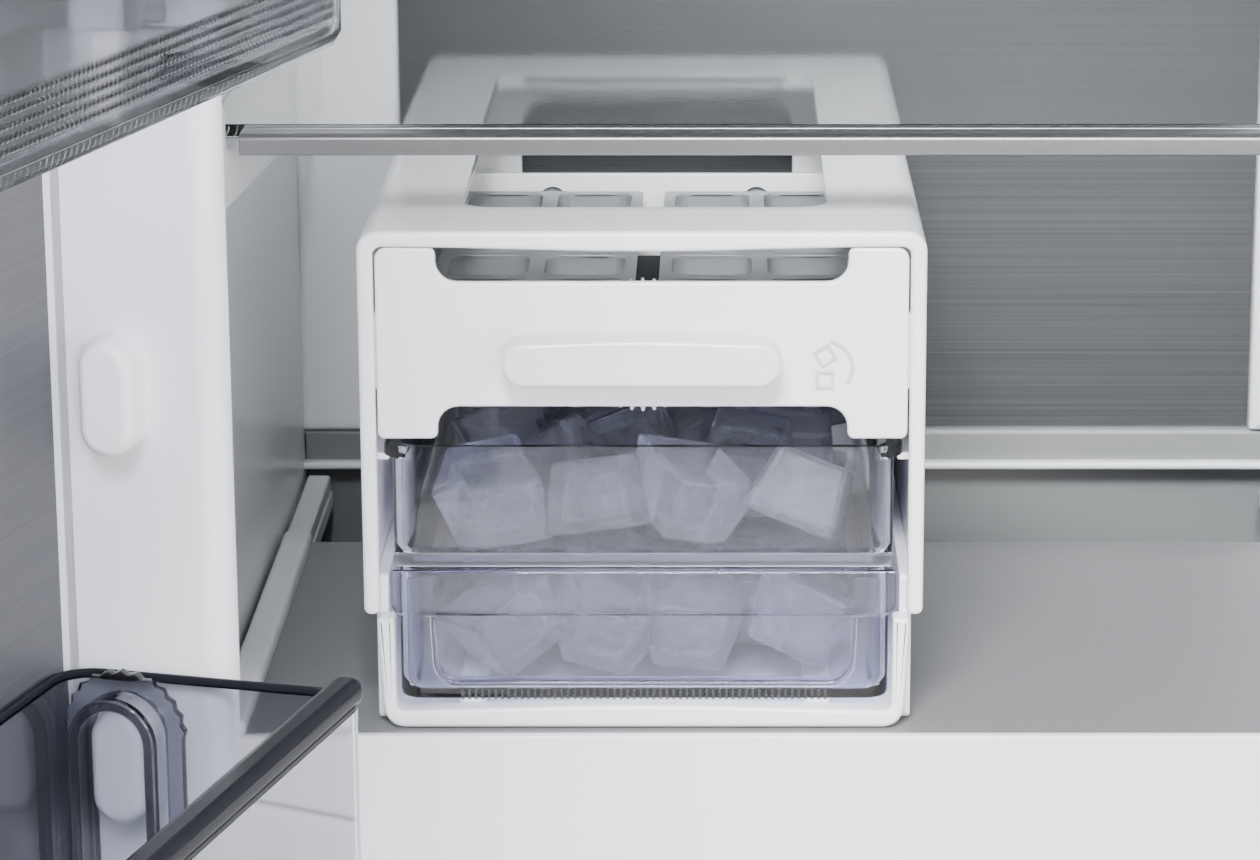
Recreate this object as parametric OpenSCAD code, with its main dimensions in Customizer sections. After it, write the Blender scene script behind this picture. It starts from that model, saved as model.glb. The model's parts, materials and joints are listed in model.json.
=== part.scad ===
// Side by side refrigerator: freezer on the left with a twist ice maker, fridge on the right.
// Millimetres. X right, Y back, Z up. The origin is on the floor, midway across the case.

/* [Cabinet] */
// Width of the steel case
case_w = 912; // [880:4:980]
// Depth of the steel case, without the doors
case_d = 610; // [600:5:700]
// Height of the case top above the floor
case_top = 1760; // [1700:10:1900]
// How far the front of the case stands ahead of the origin
front_ahead = 40; // [0:5:60]
// Thickness of the insulated side walls
side_wall = 38; // [34:1:50]
// Width of the freezer cavity
freezer_w = 350; // [340:5:390]
// Width of the wall between the two cavities
mullion_w = 56; // [50:2:80]
// Height of both cavity floors above the floor
cavity_floor = 130; // [120:5:150]
// Thickness of the insulated top wall
top_wall = 60; // [45:5:80]

/* [Doors] */
// Thickness of a door, without its gasket
door_t = 78; // [70:2:90]
// Gap between a closed door and the case, filled by the gasket
seal_gap = 14; // [12:1:18]
// Gap between the two closed doors
door_gap = 4; // [3:0.5:8]
// Distance of a hinge axis in from the side of the case
hinge_in = 14; // [12:1:20]
// Angle at which the freezer door stands open
freezer_open = 105; // [0:1:120]
// Angle at which the fridge door stands open
fridge_open = 102; // [0:1:120]
// Height of the ridge that runs round the inside of a door
dyke_h = 40; // [30:1:50]
// Width of that ridge
dyke_w = 12; // [10:1:16]

/* [Door bins] */
// Depth of a bin out from the inner panel of the door
bin_d = 74; // [60:2:90]
// Height of a bin
bin_h = 114; // [90:2:130]
// Spacing of the oval hooks up the door
hook_pitch = 84; // [80:1:100]
// Height of an oval hook
hook_h = 26; // [20:1:32]
// Width of an oval hook
hook_w = 12.5; // [10:0.5:14]

/* [Shelves and drawers] */
// Height of the freezer deck that carries the ice maker
deck_z = 800; // [780:5:830]
// Distance from the case front back to the drawer and deck fronts
inside_front = 134; // [120:2:150]
// Depth of the freezer deck
deck_d = 199; // [190:1:220]
// Height of the freezer shelf above the ice maker
shelf_above = 22; // [18:1:60]
// Thickness of a glass shelf
glass_t = 4; // [3:0.5:6]
// Depth of the metal trim along the front of a shelf
trim_d = 16; // [12:1:22]

/* [Ice maker] */
// Width of the ice maker
ice_w = 160; // [156:1:170]
// Depth of the ice maker
ice_d = 280; // [275:1:285]
// Height of the ice maker
ice_h = 146; // [144:0.5:150]
// Distance from the freezer side wall to the middle of the ice maker
ice_from_wall = 126; // [110:1:140]
// Distance between the pivots of the two ice trays
tray_pitch = 68; // [66:0.5:70]
// Length of an ice tray
tray_len = 197; // [180:1:200]
// Teeth of the gear on the twist knob
knob_teeth = 36; // [30:2:38]
// Teeth of the gear on each ice tray
tray_teeth = 32; // [30:2:38]
// Length of the twist knob
knob_len = 78; // [60:1:90]

/* [Hidden] */
$fn = 48;

// Case planes
front_y = -front_ahead;
back_y = front_y + case_d;
sheet_t = 1;
case_bottom = 60;
pan_t = 2;
case_r = 10;
frame_t = 2;
liner_t = 2;
half_w = case_w / 2;

// Cavities: freezer on the left (side -1), fridge on the right (side 1)
cavity_top = case_top - top_wall;
freezer_x = [-half_w + side_wall, -half_w + side_wall + freezer_w];
fridge_x = [freezer_x[1] + mullion_w, half_w - side_wall];
function cavity_x(side) = side < 0 ? freezer_x : fridge_x;
cavity_back = back_y - 85;
step_y = front_y + 355;
step_z = cavity_floor + 240;
machine_wall = 42;
machine_y = step_y + machine_wall;
machine_top = step_z - machine_wall;

// Doors, in their closed place
split_x = (freezer_x[1] + fridge_x[0]) / 2;
function door_x(side) = side < 0 ? [-half_w, split_x - door_gap / 2] : [split_x + door_gap / 2, half_w];
function free_x(side) = side < 0 ? door_x(side)[1] : door_x(side)[0];
door_z = [case_bottom + 10, case_top - 8];
door_in = front_y - seal_gap;
door_out = door_in - door_t;
door_r = 6;
panel_y = door_in - 6;
liner_back = panel_y - 3;
cap_t = 18;
hinge_y = door_in - 42;
pin_r = 5;
pin_clear = 0.1;
function hinge_x(side) = side * (half_w - hinge_in);
dyke_clear = 4;
dyke_tip = panel_y + dyke_h;
dyke_z = [cavity_floor + dyke_clear, cavity_top - dyke_clear];
gasket_w = 14;
gasket_in = 10;
grip_z = [560, 1180] + [case_bottom, case_bottom];
grip_t = 2;
grip_mouth = 14;
grip_deep = 30;
grip_lip_y = door_out + 20;
grip_back_y = door_out + 45;

// Bins and hooks
hook_out = 9;
hook_y = panel_y + 17;
hook_z0 = deck_z + 79;
bin_t = 2.5;
bin_gap = 1;
bin_below_hook = 89;
bin_rim_h = 6;
bin_step = 3 * hook_pitch;
bin_headroom = 60;
bin_floor = dyke_z[0] + dyke_w;
bin_rows = [-floor((hook_z0 - bin_below_hook - bin_floor) / bin_step)
    : floor((dyke_z[1] - dyke_w - bin_headroom - hook_z0 + bin_below_hook - bin_h) / bin_step)];
hook_rows = [-floor((hook_z0 - bin_floor - hook_h) / hook_pitch)
    : floor((dyke_z[1] - dyke_w - hook_h - hook_z0) / hook_pitch)];
function bin_z(row) = hook_z0 + row * bin_step - bin_below_hook;
pocket_clear = 1.5;

// Freezer shelving
inside_y = front_y + inside_front;
cover_y = cavity_back - 96;
cover_t = 3;
deck_t = 6;
deck_ledge_h = 6;
apron_h = 48;
apron_t = 3.5;
pilaster_left = 36;
pilaster_right = 14;
band_z = deck_z + 15;
slot_z = cavity_top - 140;
freezer_fan_z = cavity_top - 280;
freezer_coil_z = step_z + 80;
freezer_mid = (freezer_x[0] + freezer_x[1]) / 2;
first_shelf_z = deck_z + ice_h + shelf_above;
freezer_shelf_z = [for (i = [0:3]) first_shelf_z + i * (cavity_top - 192 - first_shelf_z) / 3];
shelf_y = inside_y + 16;
trim_h = 6;
ledge_w = 10;
fridge_mid = (fridge_x[0] + fridge_x[1]) / 2;
low_shelf_z = step_z + 230;
fridge_shelf_z = [for (i = [0:4]) low_shelf_z + i * (cavity_top - 270 - low_shelf_z) / 4];
fridge_shelf_y = inside_y - 20;
duct_y = cavity_back - 20;
drawer_gap = 2;
drawer_front_t = 14;
drawer_t = 2.5;
runner_h = 6;
runner_clear = 0.5;
drawer_part_z = (step_z + 22 + deck_z) / 2 + 4;
// Each drawer: side, bottom, top, back
drawers = [[-1, drawer_part_z, deck_z - apron_h - 2, cover_y - 20],
    [-1, step_z + 22, drawer_part_z - 10, cover_y - 20],
    [-1, cavity_floor + 8, step_z + 12, step_y - 10],
    [1, step_z + 10, low_shelf_z - 18, duct_y - 30],
    [1, cavity_floor + 8, step_z - 4, step_y - 10]];

// Ice maker, in its own frame: x from its middle, y back from its front, z up from the deck
ice_x = freezer_x[0] + ice_from_wall;
ice_y = inside_y + 6;
ice_lift = 0.3;
ice_wall = 3;
bezel_t = 4.5;
bezel_d = 6;
bezel_r = 5.6;
arm_z = 34;
pivot_z = ice_h - 35;
pivot_r = 4;
half_ice = ice_w / 2;
hood_in = half_ice - ice_wall;
bezel_in = half_ice - bezel_t;
top_open = [35, 241, 53];
cross_y = 218;
cross_t = 2.5;
gear_module = tray_pitch / (knob_teeth + tray_teeth);
gear_y = [9, 14];
tray_y = 17;
tray_half = tray_pitch / 2 - 3.5;
tray_foot = tray_half - 9;
tray_up = 4;
tray_down = 22.5;
tray_reach = max(norm([tray_half, tray_up]), norm([tray_foot, tray_down]));
cell_wall = 1.5;
cell_rows = 6;
bucket_t = 2.2;
bucket_len = 238;
slide_clear = 0.5;
cradle_t = 3.5;
cradle_bar = 5;
cradle_bar_h = 7;
cradle_h = arm_z - 1;
cradle_half = hood_in - slide_clear;
cradle_in = cradle_half - cradle_bar;
upper_ledge = hood_in - 4.5;
rim_z = ice_h - 62.2;
flange_z = rim_z - 3.4;
flange_half = hood_in - 3;
upper_half = upper_ledge - 1;
upper_floor = 48;
lower_half = cradle_in - 1;
lower_top = upper_floor - 1.1;
lower_floor = cradle_bar_h + slide_clear;
lip_z = cradle_h + slide_clear;
lip_half = bezel_in - 3;
lip_t = 2.5;
panel_half = bezel_in - slide_clear;
panel_y0 = 1;
panel_t = 3;
panel_arm = 17;

// Machine room pieces
foot_x = half_w - 56;
foot_y = front_y + 45;
roller_y = back_y - 45;
machine_mid_y = back_y - 115;
compressor_x = 230;
blower_x = 60;
blower_z = 165;
inlet_at = [-360, 160];
inlet_r = 12;
roller_r = 20;
roller_w = 16;
axle_r = 4;
fan_r = 55;
coil_r = 3;

// ---- shapes used by several pieces ----

module slab(x, y, z) {
    translate([x[0], y[0], z[0]]) cube([x[1] - x[0], y[1] - y[0], z[1] - z[0]]);
}

// Rectangle with round corners
module rounded(x, z, r) {
    translate([x[0] + r, z[0]]) square([x[1] - x[0] - 2 * r, z[1] - z[0]]);
    translate([x[0], z[0] + r]) square([x[1] - x[0], z[1] - z[0] - 2 * r]);
    for (cx = [x[0] + r, x[1] - r], cz = [z[0] + r, z[1] - r]) translate([cx, cz]) circle(r);
}

// Outline in X and Z, extruded from y[0] to y[1]
module along_y(y) {
    translate([0, y[1], 0]) rotate([90, 0, 0]) linear_extrude(y[1] - y[0]) children();
}

// Outline in Y and Z, extruded from x[0] to x[1]
module along_x(x) {
    translate([x[0], 0, 0]) rotate([90, 0, 90]) linear_extrude(x[1] - x[0]) children();
}

module rod_x(x, y, z, r) { translate([x[0], y, z]) rotate([0, 90, 0]) cylinder(r = r, h = x[1] - x[0]); }
module rod_y(x, y, z, r) { translate([x, y[1], z]) rotate([90, 0, 0]) cylinder(r = r, h = y[1] - y[0]); }

function grow(v, d) = [v[0] - d, v[1] + d];
function about(c, v) = [for (k = v) c + k];

// Box with an open top
module open_box(x, y, z, t) {
    difference() {
        slab(x, y, z);
        slab(grow(x, -t), grow(y, -t), [z[0] + t, z[1] + 1]);
    }
}

// Side outline of a cavity, grown by d all round except at its open front
function cavity_outline(d, y0) = [[y0, cavity_floor - d], [step_y + d, cavity_floor - d],
    [step_y + d, step_z - d], [cavity_back + d, step_z - d], [cavity_back + d, cavity_top + d],
    [y0, cavity_top + d]];

module cavity(side, d, y0) {
    along_x(grow(cavity_x(side), d)) polygon(cavity_outline(d, y0));
}

// Fan rotor on the Z axis: hub with a bore, and pitched blades
module rotor(r, bore, blades) {
    difference() {
        union() {
            cylinder(r = 14, h = 16);
            for (i = [0:blades - 1]) rotate(i * 360 / blades)
                translate([12, 0, 8]) rotate([35, 0, 0]) translate([0, -12, -0.8]) cube([r - 12, 24, 1.6]);
        }
        translate([0, 0, -1]) cylinder(r = bore, h = 18);
    }
}

// Serpentine of straight runs along X, joined by half turns, stacked up Z
module serpentine(x, y, z0, pitch, runs, r) {
    for (i = [0:runs - 1]) rod_x(x, y, z0 + i * pitch, r);
    for (i = [0:runs - 2]) translate([i % 2 == 0 ? x[1] : x[0], y, z0 + (i + 0.5) * pitch])
        rotate([90, i % 2 == 0 ? 0 : 180, 0]) rotate([0, 0, -90])
            rotate_extrude(angle = 180) translate([pitch / 2, 0]) circle(r);
}

// ---- cabinet ----

module outer_case() color("gainsboro") along_y([front_y, back_y]) difference() {
    rounded([-half_w, half_w], [case_bottom, case_top], case_r);
    case_inside(case_bottom);
    translate([-half_w, case_bottom]) square([case_w, case_r]);
}

module case_inside(z) {
    rounded([-half_w + sheet_t, half_w - sheet_t], [z - 2 * case_r, case_top - sheet_t], case_r - sheet_t);
}

module rear_panel() color("silver") along_y([back_y - sheet_t, back_y]) difference() {
    case_inside(machine_top);
    translate([-half_w, machine_top - 3 * case_r]) square([case_w, 3 * case_r]);
}

module front_frame() color("white") along_y([front_y, front_y + frame_t]) difference() {
    case_inside(case_bottom);
    translate([-half_w, case_bottom - 3 * case_r]) square([case_w, 3 * case_r]);
    for (side = [-1, 1]) translate([cavity_x(side)[0], cavity_floor])
        square([cavity_x(side)[1] - cavity_x(side)[0], cavity_top - cavity_floor]);
}

module insulation_foam() color("khaki") difference() {
    along_y([front_y + frame_t, back_y - sheet_t]) difference() {
        case_inside(case_bottom);
        translate([-half_w, case_bottom - 3 * case_r]) square([case_w, 3 * case_r + pan_t]);
    }
    for (side = [-1, 1]) cavity(side, liner_t, front_y);
    slab([-half_w, half_w], [machine_y, back_y], [case_bottom, machine_top]);
}

// Side ledges for one shelf: the front end stands up as a stop, the underside slopes down to the back
module shelf_ledges(side, z, y) {
    x = cavity_x(side);
    for (w = [[x[0], x[0] + ledge_w], [x[1] - ledge_w, x[1]]]) along_x(w)
        polygon([[y[0] - 14, z - 16], [y[0] - 14, z + 14], [y[0] - 3, z + 14], [y[0] - 3, z],
            [y[1], z], [y[1], z - 38]]);
}

// Runners that carry the side flanges of one drawer
module drawer_runners(d) {
    x = cavity_x(d[0]);
    z = d[2] - 26 - runner_clear;
    for (w = [[x[0], x[0] + ledge_w - 1], [x[1] - ledge_w + 1, x[1]]])
        slab(w, [inside_y + 20, d[3] + 8], [z - runner_h, z]);
}

module liner_shell(side) difference() {
    cavity(side, liner_t, front_y + frame_t);
    cavity(side, 0, front_y);
}

module freezer_liner() color("white") {
    liner_shell(-1);
    for (z = freezer_shelf_z) shelf_ledges(-1, z, [shelf_y, cover_y - 10]);
    for (i = [0:2]) drawer_runners(drawers[i]);
    for (w = [[freezer_x[0], freezer_x[0] + ledge_w], [freezer_x[1] - ledge_w, freezer_x[1]]])
        slab(w, [inside_y + apron_t + 0.5, cover_y - 10], about(deck_z - deck_t, [-deck_ledge_h, 0]));
}

module fridge_liner() color("white") {
    liner_shell(1);
    for (z = fridge_shelf_z) shelf_ledges(1, z, [fridge_shelf_y + trim_d, duct_y - 10]);
    for (i = [3:4]) drawer_runners(drawers[i]);
}

// Base pan with its rails, foot blocks, roller forks and the post of the condenser fan
module base_frame() color("dimgray") {
    inner = [-half_w + sheet_t, half_w - sheet_t];
    slab(inner, [front_y + frame_t, back_y - sheet_t], [case_bottom, case_bottom + pan_t]);
    difference() {
        union() {
            slab([-half_w + 20, half_w - 20], [front_y, front_y + 12], [24, case_bottom]);
            for (s = [-1, 1]) slab([s * foot_x - 16, s * foot_x + 16], [foot_y - 16, foot_y + 16],
                [38, case_bottom]);
        }
        for (s = [-1, 1]) translate([s * foot_x, foot_y, 20])
            cylinder(r = pin_r + pin_clear, h = case_bottom - 20);
    }
    slab([-half_w + 20, half_w - 20], [back_y - 20, back_y - 12], [36, case_bottom]);
    for (s = [-1, 1]) {
        for (c = [-1, 1]) translate([s * foot_x + c * (roller_w / 2 + 2), 0, 0])
            slab([-1, 1], [roller_y - 18, roller_y + 18], [roller_r - 8, case_bottom]);
        rod_x(about(s * foot_x, [-roller_w / 2 - 1, roller_w / 2 + 1]), roller_y, roller_r, axle_r);
    }
    difference() {
        slab(about(blower_x, [-2, 2]), [machine_y + 20, back_y - 40],
            [case_bottom + pan_t, blower_z + 85]);
        rod_x(about(blower_x, [-10, 10]), machine_mid_y, blower_z, fan_r + 4);
    }
    slab(about(blower_x, [-2, 2]), about(machine_mid_y, [-6, 6]), about(blower_z, [-fan_r, fan_r + 2]));
    rod_x(about(blower_x, [-40, -2]), machine_mid_y, blower_z, axle_r);
}

module toe_grille() color("gray") difference() {
    slab([-half_w + 32, half_w - 32], [front_y - 3, front_y], [12, case_bottom - 4]);
    for (i = [-10:10]) slab([i * 38 - 12, i * 38 + 12], [front_y - 4, front_y + 1], [18, 22]);
}

module machine_room_cover() color("slategray") difference() {
    slab([-half_w + sheet_t, half_w - sheet_t], [back_y - sheet_t, back_y],
        [case_bottom + pan_t, machine_top]);
    for (i = [-9:9], z = [110:60:230]) if (abs(i) < 8 || z > 200)
        slab([i * 44 - 14, i * 44 + 14], [back_y - 2, back_y + 1], [z, z + 14]);
    rod_y(inlet_at[0], [back_y - 2, back_y + 1], inlet_at[1], inlet_r + pin_clear);
}

module compressor() color("black") {
    translate([compressor_x, machine_mid_y, case_bottom + pan_t]) {
        translate([-85, -60, 18]) cube([170, 120, 3]);
        for (x = [-70, 70], y = [-46, 46]) translate([x, y, 0]) {
            cylinder(r = 11, h = 18);
            cylinder(r = 4, h = 26);
        }
        translate([0, 0, 21]) rotate_extrude() union() {
            square([55, 140]);
            translate([0, 22]) square([76, 96]);
            intersection() {
                translate([54, 22]) circle(22);
                square([76, 140]);
            }
            translate([54, 118]) circle(22);
        }
        translate([-95, -25, 60]) cube([28, 50, 60]);
    }
}

module condenser_coil() color("black") {
    for (y = about(machine_mid_y + 5, [-35, 0, 35])) serpentine([-380, -20], y, 90, 28, 7, coil_r);
    for (x = [-340, -60]) slab(about(x, [-1, 1]), about(machine_mid_y + 5, [-60, 60]),
        [case_bottom + pan_t, 275]);
}

module condenser_fan() color("dimgray")
    translate([blower_x - 24, machine_mid_y, blower_z]) rotate([0, 90, 0])
        rotor(fan_r, axle_r + pin_clear, 7);

module power_inlet() color("black") difference() {
    union() {
        rod_y(inlet_at[0], [back_y - sheet_t - 20, back_y], inlet_at[1], inlet_r);
        rod_y(inlet_at[0], [back_y, back_y + 4], inlet_at[1], inlet_r + 5);
    }
    rod_y(inlet_at[0], [back_y - sheet_t - 21, back_y + 5], inlet_at[1], 5);
}

module evaporator_coil() color("silver") {
    x = freezer_x + [55, -55];
    for (y = about(cavity_back, [-72, -38])) serpentine(x, y, freezer_coil_z, 36, 8, 4);
    for (i = [0:7]) slab(about(x[0] + 12 + i * 30, [0, 1.5]), about(cavity_back, [-80, -30]),
        about(freezer_coil_z, [-10, 280]));
    for (s = [x[0] + 2, x[1] - 4]) slab([s, s + 2], [cavity_back - 84, cavity_back],
        about(freezer_coil_z, [-15, 285]));
}

// Moulded cover: plate, side pilasters, band and lip above a set-back wall, fan opening, air slots
module cover_slots() for (z = [0:16:80])
    slab(about(freezer_mid, [-90, 90]), [cover_y - 3, cover_y + cover_t + 1], about(slot_z + z, [0, 6]));

module evaporator_cover() color("white") {
    difference() {
        union() {
            slab(freezer_x, [cover_y, cover_y + cover_t], [step_z, cavity_top]);
            for (x = [about(freezer_x[0], [0, pilaster_left]), about(freezer_x[1], [-pilaster_right, 0])])
                slab(x, [cover_y - 8, cover_y], [band_z, cavity_top - 4]);
            slab(freezer_x, [cover_y - 6, cover_y], [deck_z + 4, band_z]);
            slab(freezer_x, [cover_y - 10, cover_y], [deck_z + 1, deck_z + 4]);
        }
        cover_slots();
        for (i = [-4:4]) slab(about(freezer_mid + i * 30, [-10, 10]), [cover_y - 1, cover_y + cover_t + 1],
            about(step_z, [20, 26]));
    }
    rod_y(freezer_mid, [cover_y + cover_t, cover_y + 34], freezer_fan_z, axle_r);
    rod_y(freezer_mid, [cover_y + cover_t, cover_y + 12], freezer_fan_z, 12);
}

module freezer_rear_panel() color("gray") difference() {
    slab(freezer_x + [pilaster_left, -pilaster_right], [cover_y - 1.5, cover_y], [band_z, cavity_top - 4]);
    cover_slots();
}

module evaporator_fan() color("whitesmoke") translate([freezer_mid, cover_y + 32, freezer_fan_z])
    rotate([90, 0, 0]) rotor(fan_r, axle_r + pin_clear, 5);

module fridge_duct_cover() color("whitesmoke") difference() {
    slab(fridge_x, [duct_y, duct_y + cover_t], [step_z, cavity_top]);
    for (z = fridge_shelf_z, i = [-1, 1]) slab(about(fridge_mid + i * 60, [-30, 30]),
        [duct_y - 1, duct_y + cover_t + 1], about(z, [90, 98]));
}

module lamp_lenses() color("white") for (x = [freezer_mid, fridge_mid])
    slab(about(x, [-90, 90]), about(front_y, [85, 125]), [cavity_top - 5, cavity_top]);

// ---- feet and rollers ----

module levelling_foot(s) color("dimgray") translate([s * foot_x, foot_y, 0]) {
    cylinder(r = 20, h = 8);
    cylinder(r = 9, h = 14, $fn = 6);
    cylinder(r = pin_r, h = case_bottom - 2);
}
module levelling_foot_left() levelling_foot(-1);
module levelling_foot_right() levelling_foot(1);

module rear_roller(s) color("black") difference() {
    rod_x(about(s * foot_x, [-roller_w / 2 + 0.4, roller_w / 2 - 0.4]), roller_y, roller_r, roller_r);
    rod_x(about(s * foot_x, [-roller_w, roller_w]), roller_y, roller_r, axle_r + pin_clear);
}
module rear_roller_left() rear_roller(-1);
module rear_roller_right() rear_roller(1);

// ---- door hinges ----

module door_hinges() color("silver") for (side = [-1, 1]) {
    x = about(hinge_x(side), [-hinge_in, hinge_in]);
    slab(x, [hinge_y - 12, front_y + 70], [case_top, case_top + 4]);
    translate([hinge_x(side), hinge_y, door_z[1] - 14]) cylinder(r = pin_r, h = case_top - door_z[1] + 14);
    slab(x, [hinge_y - 12, front_y], [case_bottom, case_bottom + 4]);
    slab(x, [front_y - 4, front_y], [30, case_bottom]);
    translate([hinge_x(side), hinge_y, case_bottom + 4])
        cylinder(r = pin_r, h = door_z[0] + 14 - case_bottom - 4);
}

module hinge_covers() color("dimgray") for (side = [-1, 1]) {
    x = about(hinge_x(side), [-hinge_in, hinge_in]);
    translate([0, 0, case_top + 4]) difference() {
        slab(x, [hinge_y - 12, front_y + 80], [0, 14]);
        slab(grow(x, -2), [hinge_y - 10, front_y + 78], [-1, 12]);
    }
    slab(x, [front_y + 70, front_y + 80], [case_top, case_top + 4]);
}

// ---- freezer shelves and the deck ----

module freezer_shelf_glass() color("lightblue", 0.5) for (z = freezer_shelf_z)
    slab(grow(freezer_x, -1.5), [shelf_y + trim_d, cover_y - 12], [z, z + glass_t]);

module freezer_shelf_trims() color("silver") for (z = freezer_shelf_z)
    slab(grow(freezer_x, -13), [shelf_y, shelf_y + trim_d], [z - 2, z - 2 + trim_h]);

module ice_deck() color("whitesmoke") {
    x = grow(freezer_x, -1.5);
    slab(x, [inside_y, inside_y + deck_d], [deck_z - deck_t, deck_z]);
    slab(x, [inside_y, inside_y + apron_t], [deck_z - apron_h, deck_z]);
    for (w = [[x[0] + 4, x[0] + 10], [x[1] - 10, x[1] - 4]])
        slab(w, [inside_y, inside_y + deck_d], [deck_z, deck_z + 4]);
    for (w = [[x[0], x[0] + 8], [x[1] - 8, x[1]]])
        slab(w, [inside_y + deck_d, cover_y - 12], [deck_z - deck_t, deck_z]);
}

module drawer(d) {
    x = grow(cavity_x(d[0]), -drawer_gap);
    y = [inside_y, inside_y + drawer_front_t];
    body = [x[0] + 12, x[1] - 12];
    difference() {
        slab(x, y, [d[1], d[2]]);
        slab(grow(x, -70), [y[0] + 4, y[1] + 1], [d[2] - 16, d[2] + 1]);
    }
    translate([0, 0, 2]) open_box(body, [y[1] - drawer_t, d[3]], [d[1], d[2] - 22], drawer_t);
    for (w = [[x[0] + 2, body[0]], [body[1], x[1] - 2]]) slab(w, [y[1], d[3]], [d[2] - 26, d[2] - 20]);
}
module freezer_drawer_upper() color("white") drawer(drawers[0]);
module freezer_drawer_middle() color("white") drawer(drawers[1]);
module freezer_drawer_lower() color("white") drawer(drawers[2]);

module fridge_shelf_glass() color("lightblue", 0.5) for (z = fridge_shelf_z)
    slab(grow(fridge_x, -1.5), [fridge_shelf_y + trim_d, duct_y - 12], [z, z + glass_t]);

module fridge_shelf_trims() color("silver") for (z = fridge_shelf_z)
    slab(grow(fridge_x, -13), [fridge_shelf_y, fridge_shelf_y + trim_d], [z - 2, z - 2 + trim_h]);

module crisper_upper() color("lightblue", 0.6) drawer(drawers[3]);
module crisper_lower() color("lightblue", 0.6) drawer(drawers[4]);

// ---- doors ----

// Swings a closed door to the angle at which it stands open
module hung(side) {
    translate([hinge_x(side), hinge_y, 0]) rotate(side < 0 ? -freezer_open : fridge_open)
        translate([-hinge_x(side), -hinge_y, 0]) children();
}

// Plan of a door, round at its two front edges, drawn in by d
module door_plan(side, d) {
    x = grow(door_x(side), -d);
    r = door_r - d;
    rounded(x, [door_out + d, liner_back + door_r], r);
}

module door_block(side, d, z) {
    x = door_x(side);
    translate([0, 0, z[0]]) linear_extrude(z[1] - z[0]) intersection() {
        door_plan(side, d);
        translate([x[0], door_out]) square([x[1] - x[0], liner_back - door_out]);
    }
}

// Plan of the finger pocket in the free edge: a mouth at the front, wider behind the lip
module grip_plan(side, d) {
    x = free_x(side);
    for (p = [[grip_mouth, door_out - 1, grip_lip_y], [grip_deep, grip_lip_y, grip_back_y]]) {
        lo = side < 0 ? x - p[0] - d : x - 1;
        hi = side < 0 ? x + 1 : x + p[0] + d;
        translate([lo, p[1] - d]) square([hi - lo, p[2] - p[1] + 2 * d]);
    }
}

module grip_block(side, d) {
    translate([0, 0, grip_z[0] - d]) linear_extrude(grip_z[1] - grip_z[0] + 2 * d) grip_plan(side, d);
}

module door_skin(side) difference() {
    door_block(side, 0, grow(door_z, -cap_t));
    translate([0, 1, 0]) door_block(side, sheet_t, grow(door_z, -cap_t + 1));
    door_block(side, sheet_t, grow(door_z, -cap_t + 1));
    grip_block(side, grip_t);
}

module door_foam(side) difference() {
    door_block(side, sheet_t, grow(door_z, -cap_t));
    grip_block(side, grip_t);
}

module door_grip(side) intersection() {
    difference() {
        grip_block(side, grip_t);
        grip_block(side, 0);
    }
    door_block(side, 0, door_z);
}

module door_caps(side) difference() {
    union() {
        door_block(side, 0, [door_z[0], door_z[0] + cap_t]);
        door_block(side, 0, [door_z[1] - cap_t, door_z[1]]);
    }
    translate([hinge_x(side), hinge_y, door_z[0] - 1]) cylinder(r = pin_r + pin_clear, h = 16);
    translate([hinge_x(side), hinge_y, door_z[1] - 15]) cylinder(r = pin_r + pin_clear, h = 16);
}

module oval(y, z) rounded(about(y, [-hook_w / 2, hook_w / 2]), about(z, [-hook_h / 2, hook_h / 2]),
    hook_w / 2 - 0.01);

module door_liner(side) {
    inner = grow(cavity_x(side), -dyke_clear - dyke_w);
    difference() {
        union() {
            along_y([liner_back, door_in]) rounded(door_x(side), door_z, door_r);
            along_y([door_in, dyke_tip]) rounded(grow(cavity_x(side), -dyke_clear), dyke_z, 14);
        }
        along_y([panel_y, dyke_tip + 1]) rounded(inner, grow(dyke_z, -dyke_w), 10);
    }
    for (k = hook_rows) for (w = [[inner[0], inner[0] + hook_out], [inner[1] - hook_out, inner[1]]])
        along_x(w) oval(hook_y, hook_z0 + k * hook_pitch);
}

module door_gasket(side) {
    x = grow(door_x(side), -gasket_in);
    z = grow(door_z, -gasket_w);
    along_y([door_in, front_y - 0.5]) difference() {
        rounded(x, z, 8);
        rounded(grow(x, -gasket_w), grow(z, -gasket_w), 4);
    }
}

// Bins with an arched pocket in each end wall that drops over a hook
module bins(side) {
    x = grow(cavity_x(side), -dyke_clear - dyke_w - bin_gap);
    y = [panel_y + 1.5, panel_y + bin_d];
    pocket = hook_w / 2 + pocket_clear;
    for (row = bin_rows) {
        z = [bin_z(row), bin_z(row) + bin_h];
        top = hook_z0 + row * bin_step + hook_h / 2 + pocket_clear;
        difference() {
            union() {
                open_box(x, y, [z[0], z[1] - bin_rim_h], bin_t);
                for (w = [[x[0], x[0] + hook_out + bin_t], [x[1] - hook_out - bin_t, x[1]]])
                    slab(w, about(hook_y, [-pocket - bin_t, pocket + bin_t]), [z[0], top + bin_t]);
            }
            for (w = [[x[0] - 1, x[0] + hook_out], [x[1] - hook_out, x[1] + 1]]) {
                slab(w, about(hook_y, [-pocket, pocket]), [z[0] - 1, top - pocket]);
                rod_x(w, hook_y, top - pocket, pocket);
            }
        }
    }
}

// Band round the top of each bin, thick along the front
module bin_rims(side) {
    x = grow(cavity_x(side), -dyke_clear - dyke_w - bin_gap);
    y = [panel_y + 1.5, panel_y + bin_d];
    for (top = [for (row = bin_rows) bin_z(row) + bin_h]) difference() {
        slab(x, y, [top - bin_rim_h, top]);
        slab(grow(x, -bin_t), y + [bin_t, -bin_t - 2.5], [top - bin_rim_h - 1, top + 1]);
    }
}

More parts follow.
